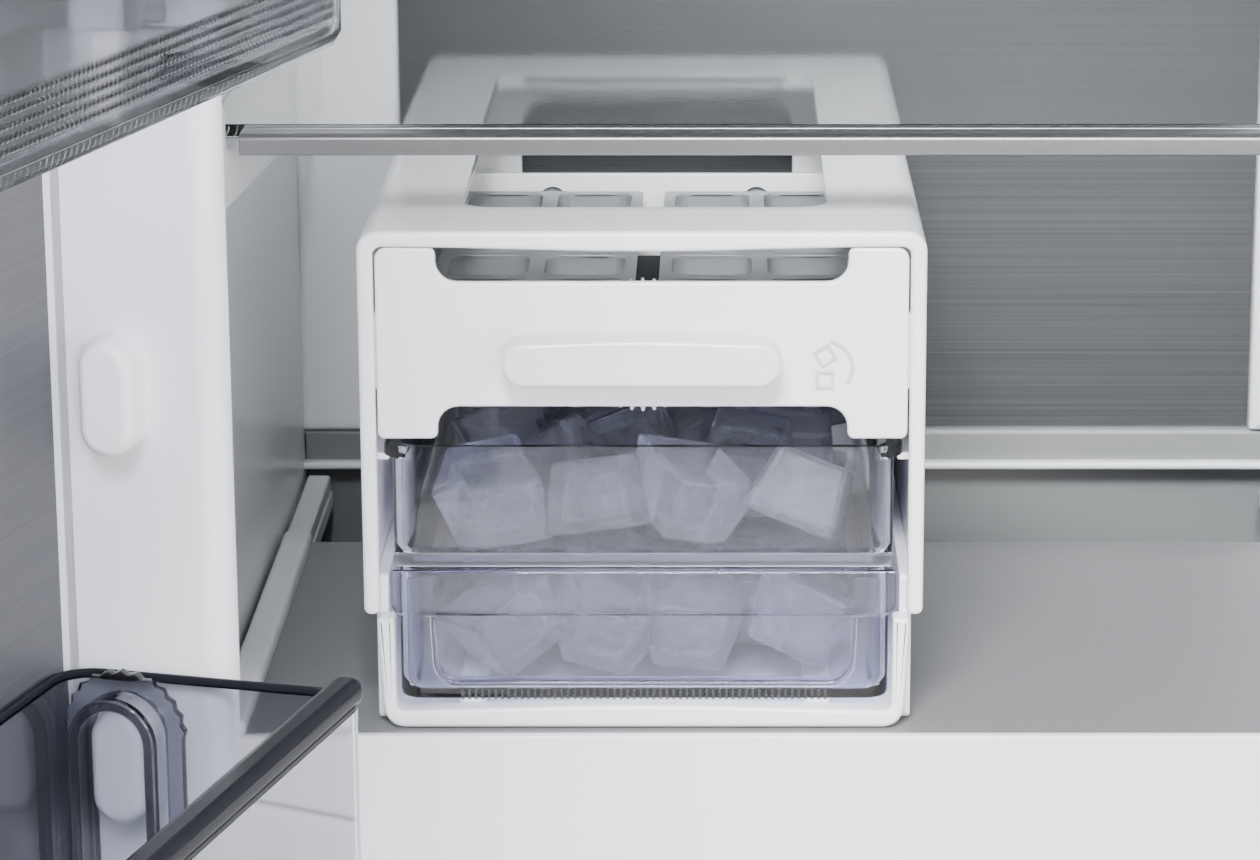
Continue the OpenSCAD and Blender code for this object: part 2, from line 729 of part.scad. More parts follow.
module freezer_door_skin() color("lightgray") hung(-1) door_skin(-1);
module freezer_door_foam() color("khaki") hung(-1) door_foam(-1);
module freezer_door_liner() color("white") hung(-1) door_liner(-1);
module freezer_door_panel() color("dimgray") hung(-1) along_y([panel_y, panel_y + 1])
    rounded(grow(freezer_x, -dyke_clear - dyke_w), grow(dyke_z, -dyke_w), 10);
module freezer_door_gasket() color("lightgray") hung(-1) door_gasket(-1);
module freezer_door_grip() color("silver") hung(-1) door_grip(-1);
module freezer_door_caps() color("gray") hung(-1) door_caps(-1);
module freezer_door_bins() color("lightblue", 0.5) hung(-1) bins(-1);
module freezer_bin_rims() color("dimgray") hung(-1) bin_rims(-1);

module fridge_door_skin() color("lightgray") hung(1) door_skin(1);
module fridge_door_foam() color("khaki") hung(1) door_foam(1);
module fridge_door_liner() color("white") hung(1) door_liner(1);
module fridge_door_gasket() color("lightgray") hung(1) door_gasket(1);
module fridge_door_grip() color("silver") hung(1) door_grip(1);
module fridge_door_caps() color("gray") hung(1) door_caps(1);
module fridge_door_bins() color("lightblue", 0.5) hung(1) {
    bins(1);
    bin_rims(1);
}

// ---- ice maker ----

module on_deck() translate([ice_x, ice_y, deck_z + ice_lift]) children();

// Upside-down U with round top corners, walls t thick
module hood_outline(t) difference() {
    rounded([-half_ice, half_ice], [arm_z, ice_h], bezel_r);
    translate([-half_ice + t, arm_z - 1]) square([ice_w - 2 * t, ice_h - arm_z + 1 - t - bezel_r]);
    rounded([-half_ice + t, half_ice - t], [arm_z + 20, ice_h - t], max(bezel_r - t, 1));
}

module ice_housing() color("white") on_deck() {
    difference() {
        union() {
            along_y([0, bezel_d]) hood_outline(bezel_t);
            along_y([bezel_d, ice_d]) hood_outline(ice_wall);
        }
        translate([0, 0, ice_h - 10]) linear_extrude(20)
            rounded([-top_open[2], top_open[2]], [top_open[0], top_open[1]], 9);
    }
    along_y([ice_d - ice_wall, ice_d]) difference() {
        translate([-hood_in, arm_z]) square([2 * hood_in, ice_h - ice_wall - arm_z]);
        rounded([-47, 47], [upper_floor + 12, ice_h - 14.6], 10);
    }
    difference() {
        slab([-hood_in, hood_in], [cross_y, cross_y + cross_t], about(pivot_z, [-19, 9]));
        for (x = [-1, 1] * tray_pitch / 2)
            rod_y(x, [cross_y - 1, cross_y + 4], pivot_z, pivot_r + pin_clear);
    }
    for (w = [[-hood_in, -upper_ledge], [upper_ledge, hood_in]])
        slab(w, [8, bucket_len + 4], about(flange_z, [-2.4, -0.4]));
}

module ice_cradle() color("white") on_deck() {
    y_end = bucket_len + 12;
    wall_in = hood_in - cradle_t;
    for (w = [[-hood_in, -wall_in], [wall_in, hood_in]]) slab(w, [8, y_end], [0, arm_z + 10]);
    along_y([0, 8]) difference() {
        rounded([-cradle_half, cradle_half], [0, cradle_h], 4);
        rounded([-cradle_in, cradle_in], [cradle_bar_h, cradle_h + 7], 1);
    }
    slab([-wall_in, wall_in], [8, y_end], [0, 3]);
    for (x = [-50, 50]) slab([x - 4, x + 4], [8, bucket_len + 2], [3, cradle_bar_h]);
    slab([-wall_in, wall_in], [y_end - 2.5, y_end], [3, 30]);
}

module ice_front_panel() color("white") on_deck() {
    cut_half = panel_half - panel_arm;
    ear_in = panel_half - 9;
    back = panel_y0 + panel_t;
    difference() {
        union() {
            along_y([panel_y0, back]) difference() {
                rounded([-panel_half, panel_half], [ice_h - 60.1, ice_h - bezel_t - 0.3], 4);
                rounded([-cut_half, cut_half], [ice_h - 14.6, ice_h + 10], 4);
                rounded([-cut_half, cut_half], [ice_h - 80, ice_h - 50.7], 4);
            }
            for (s = [-1, 1]) {
                slab(s > 0 ? [ear_in, panel_half - 1] : [1 - panel_half, -ear_in], [back, bezel_d],
                    about(pivot_z, [-11, 11]));
                slab(s > 0 ? [ear_in, hood_in] : [-hood_in, -ear_in], [bezel_d, gear_y[0]],
                    about(pivot_z, [-11, 11]));
            }
        }
        rod_y(0, [0, back + 1], pivot_z, pin_r + pin_clear);
        for (s = [-1, 1]) rod_y(s * tray_pitch / 2, [back - 2, back + 1], pivot_z, pivot_r + pin_clear);
    }
}

// Spur gear with trapezoid teeth and some backlash
module gear(teeth, y) {
    r = teeth / 2;
    tooth = [[r - 1.2, -0.95], [r + 0.9, -0.35], [r + 0.9, 0.35], [r - 1.2, 0.95]];
    along_y(y) polygon([for (i = [0:teeth - 1], p = tooth)
        let (a = i * 360 / teeth + atan2(p[1], p[0])) gear_module * norm(p) * [cos(a), sin(a)]]);
}

module twist_knob() color("white") on_deck() translate([0, 0, pivot_z]) {
    along_y([-12, -slide_clear]) rounded([-knob_len / 2, knob_len / 2], [-7.2, 7.2], 7);
    rod_y(0, [-slide_clear, gear_y[0]], 0, pin_r);
    gear(knob_teeth, gear_y);
}

// Two columns of cells between a geared front journal and a rear journal
module ice_tray(s) color("white", 0.8) on_deck() translate([s * tray_pitch / 2, 0, pivot_z]) {
    y = [tray_y, tray_y + tray_len];
    pitch = (tray_len - 2 * cell_wall) / cell_rows;
    out = tray_foot - cell_wall;
    difference() {
        along_y(y) polygon([[-tray_half, tray_up], [-tray_foot, -tray_down], [tray_foot, -tray_down],
            [tray_half, tray_up]]);
        for (x = [[-out, -2.5], [2.5, out]], i = [0:cell_rows - 1])
            slab(x, about(tray_y + cell_wall + i * pitch, [cell_wall, pitch - cell_wall]),
                [-tray_down + 2, tray_up + 1]);
    }
    rod_y(0, [y[1], cross_y + 4], 0, pivot_r);
    rod_y(0, [panel_y0 + 1.3, y[0]], 0, pivot_r);
    rotate([0, 180 / tray_teeth, 0]) gear(tray_teeth, gear_y);
}
module ice_tray_left() ice_tray(-1);
module ice_tray_right() ice_tray(1);

// Its back wall is lower, so that it passes under the turning trays
module ice_bucket_upper() color("lightblue", 0.5) on_deck() {
    difference() {
        open_box([-upper_half, upper_half], [slide_clear, bucket_len], [upper_floor, rim_z], bucket_t);
        slab([-upper_half + bucket_t, upper_half - bucket_t], about(bucket_len, [-bucket_t - 1, 1]),
            [pivot_z - tray_reach - slide_clear, rim_z + 1]);
    }
    for (w = [[-flange_half, -upper_half], [upper_half, flange_half]])
        slab(w, [slide_clear, bucket_len], [flange_z, rim_z]);
}

module ice_bucket_lower() color("lightblue", 0.5) on_deck() {
    y = [slide_clear, slide_clear + lip_t];
    open_box([-lower_half, lower_half], [y[1], bucket_len - 3], [lower_floor, lower_top], bucket_t);
    along_y(y) rounded([-lip_half, lip_half], [lip_z, lower_top], 4);
}

outer_case();
rear_panel();
front_frame();
insulation_foam();
freezer_liner();
fridge_liner();
base_frame();
toe_grille();
machine_room_cover();
compressor();
condenser_coil();
condenser_fan();
power_inlet();
evaporator_coil();
evaporator_cover();
freezer_rear_panel();
evaporator_fan();
fridge_duct_cover();
lamp_lenses();
levelling_foot_left();
levelling_foot_right();
rear_roller_left();
rear_roller_right();
door_hinges();
hinge_covers();
freezer_shelf_glass();
freezer_shelf_trims();
ice_deck();
freezer_drawer_upper();
freezer_drawer_middle();
freezer_drawer_lower();
fridge_shelf_glass();
fridge_shelf_trims();
crisper_upper();
crisper_lower();
freezer_door_skin();
freezer_door_foam();
freezer_door_liner();
freezer_door_panel();
freezer_door_gasket();
freezer_door_grip();
freezer_door_caps();
freezer_door_bins();
freezer_bin_rims();
fridge_door_skin();
fridge_door_foam();
fridge_door_liner();
fridge_door_gasket();
fridge_door_grip();
fridge_door_caps();
fridge_door_bins();
ice_housing();
ice_cradle();
ice_front_panel();
twist_knob();
ice_tray_left();
ice_tray_right();
ice_bucket_upper();
ice_bucket_lower();
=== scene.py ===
import json
import math
import random

import bmesh
import bpy
from mathutils import Matrix, Vector


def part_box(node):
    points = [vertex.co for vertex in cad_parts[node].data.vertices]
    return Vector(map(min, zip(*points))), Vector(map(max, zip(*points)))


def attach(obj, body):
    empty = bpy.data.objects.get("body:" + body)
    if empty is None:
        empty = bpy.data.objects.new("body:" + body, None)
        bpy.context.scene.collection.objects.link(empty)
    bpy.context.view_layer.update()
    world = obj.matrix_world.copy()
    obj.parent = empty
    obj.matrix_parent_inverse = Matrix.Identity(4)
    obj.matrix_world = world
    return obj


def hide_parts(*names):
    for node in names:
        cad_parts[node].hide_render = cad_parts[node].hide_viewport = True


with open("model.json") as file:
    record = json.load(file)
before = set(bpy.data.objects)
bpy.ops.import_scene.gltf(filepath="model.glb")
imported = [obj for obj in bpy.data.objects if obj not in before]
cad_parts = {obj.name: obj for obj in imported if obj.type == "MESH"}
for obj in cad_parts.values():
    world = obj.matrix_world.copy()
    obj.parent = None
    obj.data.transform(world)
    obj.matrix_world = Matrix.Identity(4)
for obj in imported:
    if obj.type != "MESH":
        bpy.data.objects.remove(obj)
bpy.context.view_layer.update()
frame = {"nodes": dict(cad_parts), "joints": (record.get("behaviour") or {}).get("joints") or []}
scene = bpy.context.scene
nodes = frame["nodes"]
joints = {joint["name"]: joint for joint in frame["joints"]}

# ---- Camera ----
# It looks a little down into the open freezer side, at the ice maker on its deck.
hood_low, hood_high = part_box("ice_housing")
ice_x = (hood_low.x + hood_high.x) / 2
ice_y = hood_low.y
ice_top = hood_high.z
LENS, SENSOR_WIDTH, SIDE_SHIFT, NEAR_LIMIT = 114.3, 36, -0.0714, 0.05
RIGHT_OF_ICE, BEFORE_ICE, ABOVE_ICE, DOWNWARD = 0.0219, 1.0945, 0.23, math.radians(75.3)
camera_data = bpy.data.cameras.new("camera")
camera_data.lens = LENS
camera_data.sensor_width = SENSOR_WIDTH
camera_data.shift_x = SIDE_SHIFT
camera_data.clip_start = NEAR_LIMIT
camera = bpy.data.objects.new("camera", camera_data)
camera.location = (ice_x + RIGHT_OF_ICE, ice_y - BEFORE_ICE, ice_top + ABOVE_ICE)
camera.rotation_euler = (DOWNWARD, 0, 0)
scene.collection.objects.link(camera)
scene.camera = camera


# ---- Studio ----
# A plain pale floor, a broad key light above the camera, and soft lights from the sides and behind.
def box_area(name, place, aim, width, height, power):
    """A rectangular soft light, turned to its aim."""
    data = bpy.data.lights.new(name, "AREA")
    data.shape = "RECTANGLE"
    data.size = width
    data.size_y = height
    data.energy = power
    lamp = bpy.data.objects.new(name, data)
    lamp.location = place
    lamp.rotation_euler = (Vector(aim) - Vector(place)).to_track_quat("-Z", "Y").to_euler()
    scene.collection.objects.link(lamp)


box_area("key_light", (-0.6, -2.3, 2.9), (-0.25, 0.2, 0.9), 1.1, 0.8, 260)
box_area("right_light", (2.3, -2.2, 1.5), (-0.1, 0.2, 0.9), 0.8, 2.0, 85)
box_area("left_light", (-2.5, -2.4, 1.6), (-0.1, 0.2, 0.9), 0.8, 2.0, 45)
box_area("inner_light", (0.35, -2.9, 1.5), (-0.35, 0.2, 0.95), 0.5, 0.9, 42)
box_area("back_light", (0.6, 3.2, 2.6), (0, 0.3, 0.9), 2.4, 1.8, 120)
world = bpy.data.worlds.new("studio")
scene.world = world
world.use_nodes = True
SKY, SKY_STRENGTH, FLOOR_REACH = (0.93, 0.95, 1.0, 1), 0.34, 45
sky = world.node_tree.nodes["Background"]
sky.inputs["Color"].default_value = SKY
sky.inputs["Strength"].default_value = SKY_STRENGTH

floor_mesh = bpy.data.meshes.new("floor")
floor_corners = ((-1, -1), (1, -1), (1, 1), (-1, 1))
floor_mesh.from_pydata([(x * FLOOR_REACH, y * FLOOR_REACH, 0) for x, y in floor_corners], [], [(0, 1, 2, 3)])
floor = bpy.data.objects.new("floor", floor_mesh)
scene.collection.objects.link(floor)


# ---- Ice maker: hood ----
# One white injection moulding, open below: two side walls, a roof with a filling opening, a thick
# front bezel, a back wall and a cross wall that holds the rear journals of the trays.
def new_group(name, inputs, outputs):
    """A shader group with the given inputs and float outputs, and its two end nodes."""
    tree = bpy.data.node_groups.new(name, "ShaderNodeTree")
    for label, kind, value in inputs:
        tree.interface.new_socket(label, in_out="INPUT", socket_type=kind).default_value = value
    for label in outputs:
        tree.interface.new_socket(label, in_out="OUTPUT", socket_type="NodeSocketFloat")
    return tree, tree.nodes.new("NodeGroupInput"), tree.nodes.new("NodeGroupOutput")


def value_maths(tree, operation, first, second, third=None):
    node = tree.nodes.new("ShaderNodeMath")
    node.operation = operation
    for socket, value in zip(node.inputs, (first, second, third)):
        if isinstance(value, bpy.types.NodeSocket):
            tree.links.new(value, socket)
        elif value is not None:
            socket.default_value = value
    return node.outputs[0]


def grain_group():
    """Fine grain of a moulded or painted surface: a roughness that wanders, and a height."""
    name = "surface_grain"
    if name in bpy.data.node_groups:
        return bpy.data.node_groups[name]
    inputs = [("Scale", "NodeSocketVector", (1, 1, 1)), ("Middle", "NodeSocketFloat", 0.3),
              ("Spread", "NodeSocketFloat", 0.1)]
    tree, given, made = new_group(name, inputs, ["Roughness", "Height"])
    place = tree.nodes.new("ShaderNodeTexCoord")
    mapping = tree.nodes.new("ShaderNodeMapping")
    tree.links.new(place.outputs["Object"], mapping.inputs["Vector"])
    tree.links.new(given.outputs["Scale"], mapping.inputs["Scale"])
    noise = tree.nodes.new("ShaderNodeTexNoise")
    noise.inputs["Scale"].default_value = 1
    noise.inputs["Detail"].default_value = 5
    noise.inputs["Roughness"].default_value = 0.62
    tree.links.new(mapping.outputs["Vector"], noise.inputs["Vector"])
    offset = value_maths(tree, "SUBTRACT", noise.outputs["Fac"], 0.5)
    rough = value_maths(tree, "MULTIPLY_ADD", offset, given.outputs["Spread"], given.outputs["Middle"])
    tree.links.new(rough, made.inputs["Roughness"])
    tree.links.new(noise.outputs["Fac"], made.inputs["Height"])
    return tree


def finish(name, colour, roughness, grain, spread=0.08, height=0.00002, darker=None, **sockets):
    """A Principled material whose roughness, bump and, if asked, shade follow the grain group."""
    material = bpy.data.materials.new(name)
    material.use_nodes = True
    tree = material.node_tree
    shader = tree.nodes["Principled BSDF"]
    shader.inputs["Base Color"].default_value = (*colour, 1)
    for label, value in sockets.items():
        shader.inputs[label.replace("_", " ")].default_value = value
    group = tree.nodes.new("ShaderNodeGroup")
    group.node_tree = grain_group()
    group.inputs["Scale"].default_value = grain
    group.inputs["Middle"].default_value = roughness
    group.inputs["Spread"].default_value = spread
    tree.links.new(group.outputs["Roughness"], shader.inputs["Roughness"])
    bump = tree.nodes.new("ShaderNodeBump")
    bump.inputs["Distance"].default_value = height
    tree.links.new(group.outputs["Height"], bump.inputs["Height"])
    tree.links.new(bump.outputs["Normal"], shader.inputs["Normal"])
    if darker:
        ramp = tree.nodes.new("ShaderNodeValToRGB")
        for stop, position, shade in zip(ramp.color_ramp.elements, (0.3, 0.7), (darker, colour)):
            stop.position = position
            stop.color = (*shade, 1)
        tree.links.new(group.outputs["Height"], ramp.inputs["Fac"])
        tree.links.new(ramp.outputs["Color"], shader.inputs["Base Color"])
    return material


def fillet(corners, steps=6):
    """Closed outline through corners given as (x, y, radius), each rounded by an arc."""
    points = []
    for i, (x, y, r) in enumerate(corners):
        here = Vector((x, y))
        if r <= 0:
            points.append((x, y))
            continue
        before = (Vector(corners[i - 1][:2]) - here).normalized()
        after = (Vector(corners[(i + 1) % len(corners)][:2]) - here).normalized()
        half = before.angle(after) / 2
        centre = here + (before + after).normalized() * (r / math.sin(half))
        start = here + before * (r / math.tan(half)) - centre
        turn = start.angle_signed(here + after * (r / math.tan(half)) - centre)
        for k in range(steps + 1):
            points.append(tuple(centre + Matrix.Rotation(-turn * k / steps, 2) @ start))
    return points


def rectangle(x0, x1, y0, y1, r, steps=6):
    """Closed outline of a rectangle with round corners."""
    return fillet([(x0, y0, r), (x1, y0, r), (x1, y1, r), (x0, y1, r)], steps)


def mirrored(right, steps=6):
    """Closed outline from the corners of its right half; the left half mirrors them."""
    return fillet(right + [(-x, y, r) for x, y, r in reversed(right) if x], steps)


def cleaned(mesh):
    """The mesh with its seams closed and its normals outwards."""
    mould = bmesh.new()
    mould.from_mesh(mesh)
    bmesh.ops.remove_doubles(mould, verts=mould.verts, dist=2e-6)
    bmesh.ops.recalc_face_normals(mould, faces=mould.faces)
    mould.to_mesh(mesh)
    mould.free()
    return mesh


UPRIGHT = Matrix.Rotation(math.pi / 2, 4, "X")
SIDEWAYS = Matrix(((0, 0, 1, 0), (1, 0, 0, 0), (0, 1, 0, 0), (0, 0, 0, 1)))


def moulding(loops, low, high, edge, turn=None, steps=3):
    """A plate with rounded edges, from an outline and holes. It lies in X and Y from z low to high;
    UPRIGHT stands it in X and Z with y low to high, SIDEWAYS in Y and Z with x low to high."""
    if turn is UPRIGHT:
        low, high = -high, -low
    curve = bpy.data.curves.new("outline", "CURVE")
    curve.dimensions = "2D"
    curve.fill_mode = "BOTH"
    curve.extrude = max((high - low) / 2 - edge, 0)
    curve.bevel_depth = edge
    curve.bevel_resolution = steps
    curve.offset = -edge
    for loop in loops:
        spline = curve.splines.new("POLY")
        spline.points.add(len(loop) - 1)
        for point, (x, y) in zip(spline.points, loop):
            point.co = (x, y, 0, 1)
        spline.use_cyclic_u = True
    carrier = bpy.data.objects.new("outline", curve)
    scene.collection.objects.link(carrier)
    depsgraph = bpy.context.evaluated_depsgraph_get()
    mesh = bpy.data.meshes.new_from_object(carrier.evaluated_get(depsgraph))
    bpy.data.objects.remove(carrier)
    mesh.transform((turn or Matrix()) @ Matrix.Translation((0, 0, (low + high) / 2)))
    return cleaned(mesh)


def vessel(sections):
    """A closed skin over sections, loops of equal length, capped at both ends."""
    mould = bmesh.new()
    rows = [[mould.verts.new(point) for point in section] for section in sections]
    for row, following in zip(rows, rows[1:]):
        for i in range(len(row)):
            k = (i + 1) % len(row)
            mould.faces.new((row[i], row[k], following[k], following[i]))
    mould.faces.new(rows[0][::-1])
    mould.faces.new(rows[-1])
    bmesh.ops.recalc_face_normals(mould, faces=mould.faces)
    mesh = bpy.data.meshes.new("vessel")
    mould.to_mesh(mesh)
    mould.free()
    return mesh


def level(x0, x1, y0, y1, r, z, steps=6):
    """A rounded rectangle at height z, for a vessel."""
    return [(x, y, z) for x, y in rectangle(x0, x1, y0, y1, r, steps)]


def rod(start, end, radius, sides=32):
    """A round bar between two points, with a small chamfer at each end."""
    along = Vector(end) - Vector(start)
    turn = Matrix.Translation(start) @ along.to_track_quat("Z", "Y").to_matrix().to_4x4()
    chamfer = min(radius * 0.2, 0.0006)
    stations = [(0, radius - chamfer), (chamfer, radius), (along.length - chamfer, radius),
                (along.length, radius - chamfer)]
    mesh = vessel([[(r * math.cos(2 * math.pi * i / sides), r * math.sin(2 * math.pi * i / sides), z)
                    for i in range(sides)] for z, r in stations])
    mesh.transform(turn)
    return mesh


def piece(name, parts, material, body, slot, *replaced, place=None, sharp=38):
    """Joins parts into one mesh with weighted normals and hangs it on its body."""
    mould = bmesh.new()
    for part in parts:
        mould.from_mesh(part)
    joined = bpy.data.meshes.new(name)
    mould.to_mesh(joined)
    mould.free()
    if place:
        joined.transform(place)
    joined.polygons.foreach_set("use_smooth", [True] * len(joined.polygons))
    joined.set_sharp_from_angle(angle=math.radians(sharp))
    carrier = bpy.data.objects.new("carrier", joined)
    scene.collection.objects.link(carrier)
    carrier.modifiers.new("weights", "WEIGHTED_NORMAL").keep_sharp = True
    depsgraph = bpy.context.evaluated_depsgraph_get()
    mesh = bpy.data.meshes.new_from_object(carrier.evaluated_get(depsgraph))
    bpy.data.objects.remove(carrier)
    mesh.name = name
    mesh.materials.clear()
    mesh.materials.append(material)
    made = bpy.data.objects.new(name, mesh)
    scene.collection.objects.link(made)
    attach(made, body)
    if replaced:
        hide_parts(*replaced)
    return made


def span(start, end):
    """Two bounds in rising order."""
    return min(start, end), max(start, end)


def cut(mesh, cutter):
    """Takes a closed cutter out of a closed mesh."""
    pair = []
    for data in (mesh, cutter):
        pair.append(bpy.data.objects.new("cut", data))
        scene.collection.objects.link(pair[-1])
    boolean = pair[0].modifiers.new("cut", "BOOLEAN")
    boolean.operation = "DIFFERENCE"
    boolean.solver = "EXACT"
    boolean.object = pair[1]
    depsgraph = bpy.context.evaluated_depsgraph_get()
    left = bpy.data.meshes.new_from_object(pair[0].evaluated_get(depsgraph))
    for carrier in pair:
        bpy.data.objects.remove(carrier)
    return left


floor.data.materials.append(finish("studio_floor", (0.80, 0.80, 0.80), 0.7, (3, 3, 3)))
cradle_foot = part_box("ice_cradle")[0].z
ice_place = Matrix.Translation((ice_x, ice_y, cradle_foot))
ICE_HALF = (hood_high.x - hood_low.x) / 2
ICE_DEPTH = hood_high.y - hood_low.y
ICE_HEIGHT, ARM_FOOT = hood_high.z - cradle_foot, hood_low.z - cradle_foot
ice_white = finish("ice_maker_white", (0.88, 0.885, 0.90), 0.3, (420, 420, 420), 0.06, Coat_Weight=0.15)


def hood_loop(wall, bow=0.0, radius=0.0056):
    """Upside-down U, wall thick, with round feet. bow thickens the middle of its top bar."""
    half, top = ICE_HALF, ICE_HEIGHT
    inner, ceiling = half - wall, top - wall
    corner = max(radius - wall, 0.0025)
    foot = wall * 0.42
    return mirrored([(0, ceiling - bow, 0.9), (inner * 0.86, ceiling, 0), (inner, ceiling, corner),
                     (inner, ARM_FOOT, foot), (half, ARM_FOOT, foot), (half, top, radius)])


def on_circle(centre, radius, degrees):
    """Points of a circle in X and Z, at the given angles."""
    return [(centre[0] + radius * math.cos(angle), centre[1] + radius * math.sin(angle))
            for angle in map(math.radians, degrees)]


OPENING_FRONT, OPENING_BACK, OPENING_HALF, OPENING_R = 0.035, 0.241, 0.053, 0.009
HOOD_WALL, BEZEL_WALL, BEZEL_DEPTH, BEZEL_BOW, LIP_W, LIP_DEPTH = 0.003, 0.0045, 0.006, 0.0016, 0.0016, 0.0045
opening = rectangle(-OPENING_HALF, OPENING_HALF, OPENING_FRONT, OPENING_BACK, OPENING_R)
hood = moulding([hood_loop(HOOD_WALL)], 0.004, ICE_DEPTH, 0.0012, UPRIGHT)
hood = cut(hood, moulding([opening], ICE_HEIGHT - 0.01, ICE_HEIGHT + 0.01, 0.0002))
lip = moulding([rectangle(-OPENING_HALF - LIP_W, OPENING_HALF + LIP_W, OPENING_FRONT - LIP_W,
                          OPENING_BACK + LIP_W, OPENING_R + LIP_W), opening],
               ICE_HEIGHT - LIP_DEPTH, ICE_HEIGHT, 0.0008)
bezel = moulding([hood_loop(BEZEL_WALL, BEZEL_BOW)], 0, BEZEL_DEPTH, 0.0016, UPRIGHT, steps=4)
PIVOT_Z, TRAY_PITCH, CROSS_Y, CROSS_T, CROSS_HOLE = ICE_HEIGHT - 0.035, 0.068, 0.218, 0.0025, 0.0045
LEDGE_Z, LEDGE_T, LEDGE_IN = 0.078, 0.002, 0.0725
inner = ICE_HALF - HOOD_WALL
back = moulding([rectangle(-inner, inner, ARM_FOOT, ICE_HEIGHT - 0.002, 0.0025),
                 rectangle(-0.047, 0.047, 0.06, ICE_HEIGHT - 0.0146, 0.01)],
                ICE_DEPTH - 0.003, ICE_DEPTH - 0.0003, 0.0008, UPRIGHT)
holes = [on_circle((s * TRAY_PITCH / 2, PIVOT_Z), CROSS_HOLE, range(0, 360, 15)) for s in (-1, 1)]
cross = moulding([rectangle(-inner, inner, 0.092, PIVOT_Z + 0.009, 0.001), *holes], CROSS_Y,
                 CROSS_Y + CROSS_T, 0.0004, UPRIGHT)
ledges = [moulding([rectangle(*span(s * inner, s * LEDGE_IN), 0.008, 0.242, 0.001)], LEDGE_Z,
                   LEDGE_Z + LEDGE_T, 0.0004) for s in (-1, 1)]
piece("ice_maker_hood", [hood, lip, bezel, back, cross, *ledges], ice_white, "ice_maker", "ice_white",
      "ice_housing", place=ice_place)


# ---- Ice maker: cradle ----
# The white base tray the lower bucket slides into. Its front is a U whose bottom bar swells in the middle.
CRADLE_HALF, CRADLE_TOP, CRADLE_BAR, CRADLE_FOOT_IN = 0.0765, 0.033, 0.005, 0.002
bar_in = CRADLE_HALF - CRADLE_BAR
corner_in, corner_z, swell_z = bar_in - 0.0003, 0.0050, 0.0072
cradle_front = moulding([mirrored([
    (CRADLE_HALF - CRADLE_FOOT_IN, 0, 0.006), (CRADLE_HALF, CRADLE_TOP, 0.001), (bar_in, CRADLE_TOP, 0.001),
    (corner_in, corner_z, 0.0024), (0, swell_z, 0.9)])], 0, 0.008, 0.0014, UPRIGHT)
cradle_walls = [moulding([rectangle(0.0075, 0.25, 0.0005, 0.044, 0.002)], *span(s * 0.077, s * 0.0735),
                         0.0008, SIDEWAYS) for s in (-1, 1)]
cradle_floor = moulding([rectangle(-0.0745, 0.0745, 0.0075, 0.2495, 0.002)], 0, 0.003, 0.0008)
cradle_runners = [moulding([rectangle(x - 0.004, x + 0.004, 0.008, 0.24, 0.002)], 0.002, 0.007, 0.001)
                  for x in (-0.05, 0.05)]
piece("ice_maker_cradle", [cradle_front, *cradle_walls, cradle_floor, *cradle_runners], ice_white,
      "ice_maker", "ice_white", "ice_cradle", place=ice_place)


# ---- Ice maker: front panel ----
# A white H-shaped cover plate in front of the gears, clipped behind the bezel, with a small raised
# sign beside the knob that shows a cube tipping out. The sign's raised lines are painted grey as shade.
PANEL_FRONT, PANEL_BACK, PANEL_HALF, NOTCH_HALF, NOTCH_R = 0.001, 0.004, 0.075, 0.058, 0.006
panel_top, panel_foot = ICE_HEIGHT - 0.0048, ICE_HEIGHT - 0.0601
notch_top, notch_foot = ICE_HEIGHT - 0.0146, ICE_HEIGHT - 0.0507
panel_plate = moulding([mirrored([
    (NOTCH_HALF, notch_foot, NOTCH_R), (NOTCH_HALF, panel_foot, 0.002), (PANEL_HALF, panel_foot, 0.002),
    (PANEL_HALF, panel_top, 0.0035), (NOTCH_HALF, panel_top, 0.002), (NOTCH_HALF, notch_top, NOTCH_R)])],
    PANEL_FRONT, PANEL_BACK, 0.001, UPRIGHT, steps=4)
panel_ears = [moulding([rectangle(*span(s * 0.066, s * 0.0768), 0.1, 0.122, 0.001)], PANEL_BACK - 0.001,
                       0.009, 0.0005, UPRIGHT) for s in (-1, 1)]
SIGN, SIGN_OUT, SIGN_IN = (0.0515, PIVOT_Z - 0.004), 0.0036, 0.0026
ARC_R, ARC_W, ARC_STEPS, ARC_START, ARC_STOP = 0.0078, 0.0008, 14, -35, 78
sweep = [ARC_START + (ARC_STOP - ARC_START) * k / ARC_STEPS for k in range(ARC_STEPS + 1)]
sign_loops = [[on_circle((SIGN[0], SIGN[1] + up), size, [turn + 90 * k for k in range(4)])
               for size in (SIGN_OUT, SIGN_IN)] for turn, up in ((45, -0.0035), (78, 0.0035))]
sign_loops.append([on_circle(SIGN, ARC_R + ARC_W / 2, sweep)
                   + on_circle(SIGN, ARC_R - ARC_W / 2, sweep[::-1])])
sign_parts = [moulding(loops, PANEL_FRONT - 0.0009, PANEL_FRONT + 0.001, 0.0001, UPRIGHT, steps=1)
              for loops in sign_loops]
piece("ice_maker_front", [panel_plate, *panel_ears], ice_white, "ice_maker", "ice_white", "ice_front_panel",
      place=ice_place)
# Painted shade: the sign's lines are grey, standing in for the shading along the raised lines.
sign_painted_shade_grey = finish("sign_painted_shade_grey", (0.60, 0.605, 0.62), 0.4, (420, 420, 420), 0.06)
piece("ice_maker_sign", sign_parts, sign_painted_shade_grey, "ice_maker", "ice_white", "ice_front_panel",
      place=ice_place)


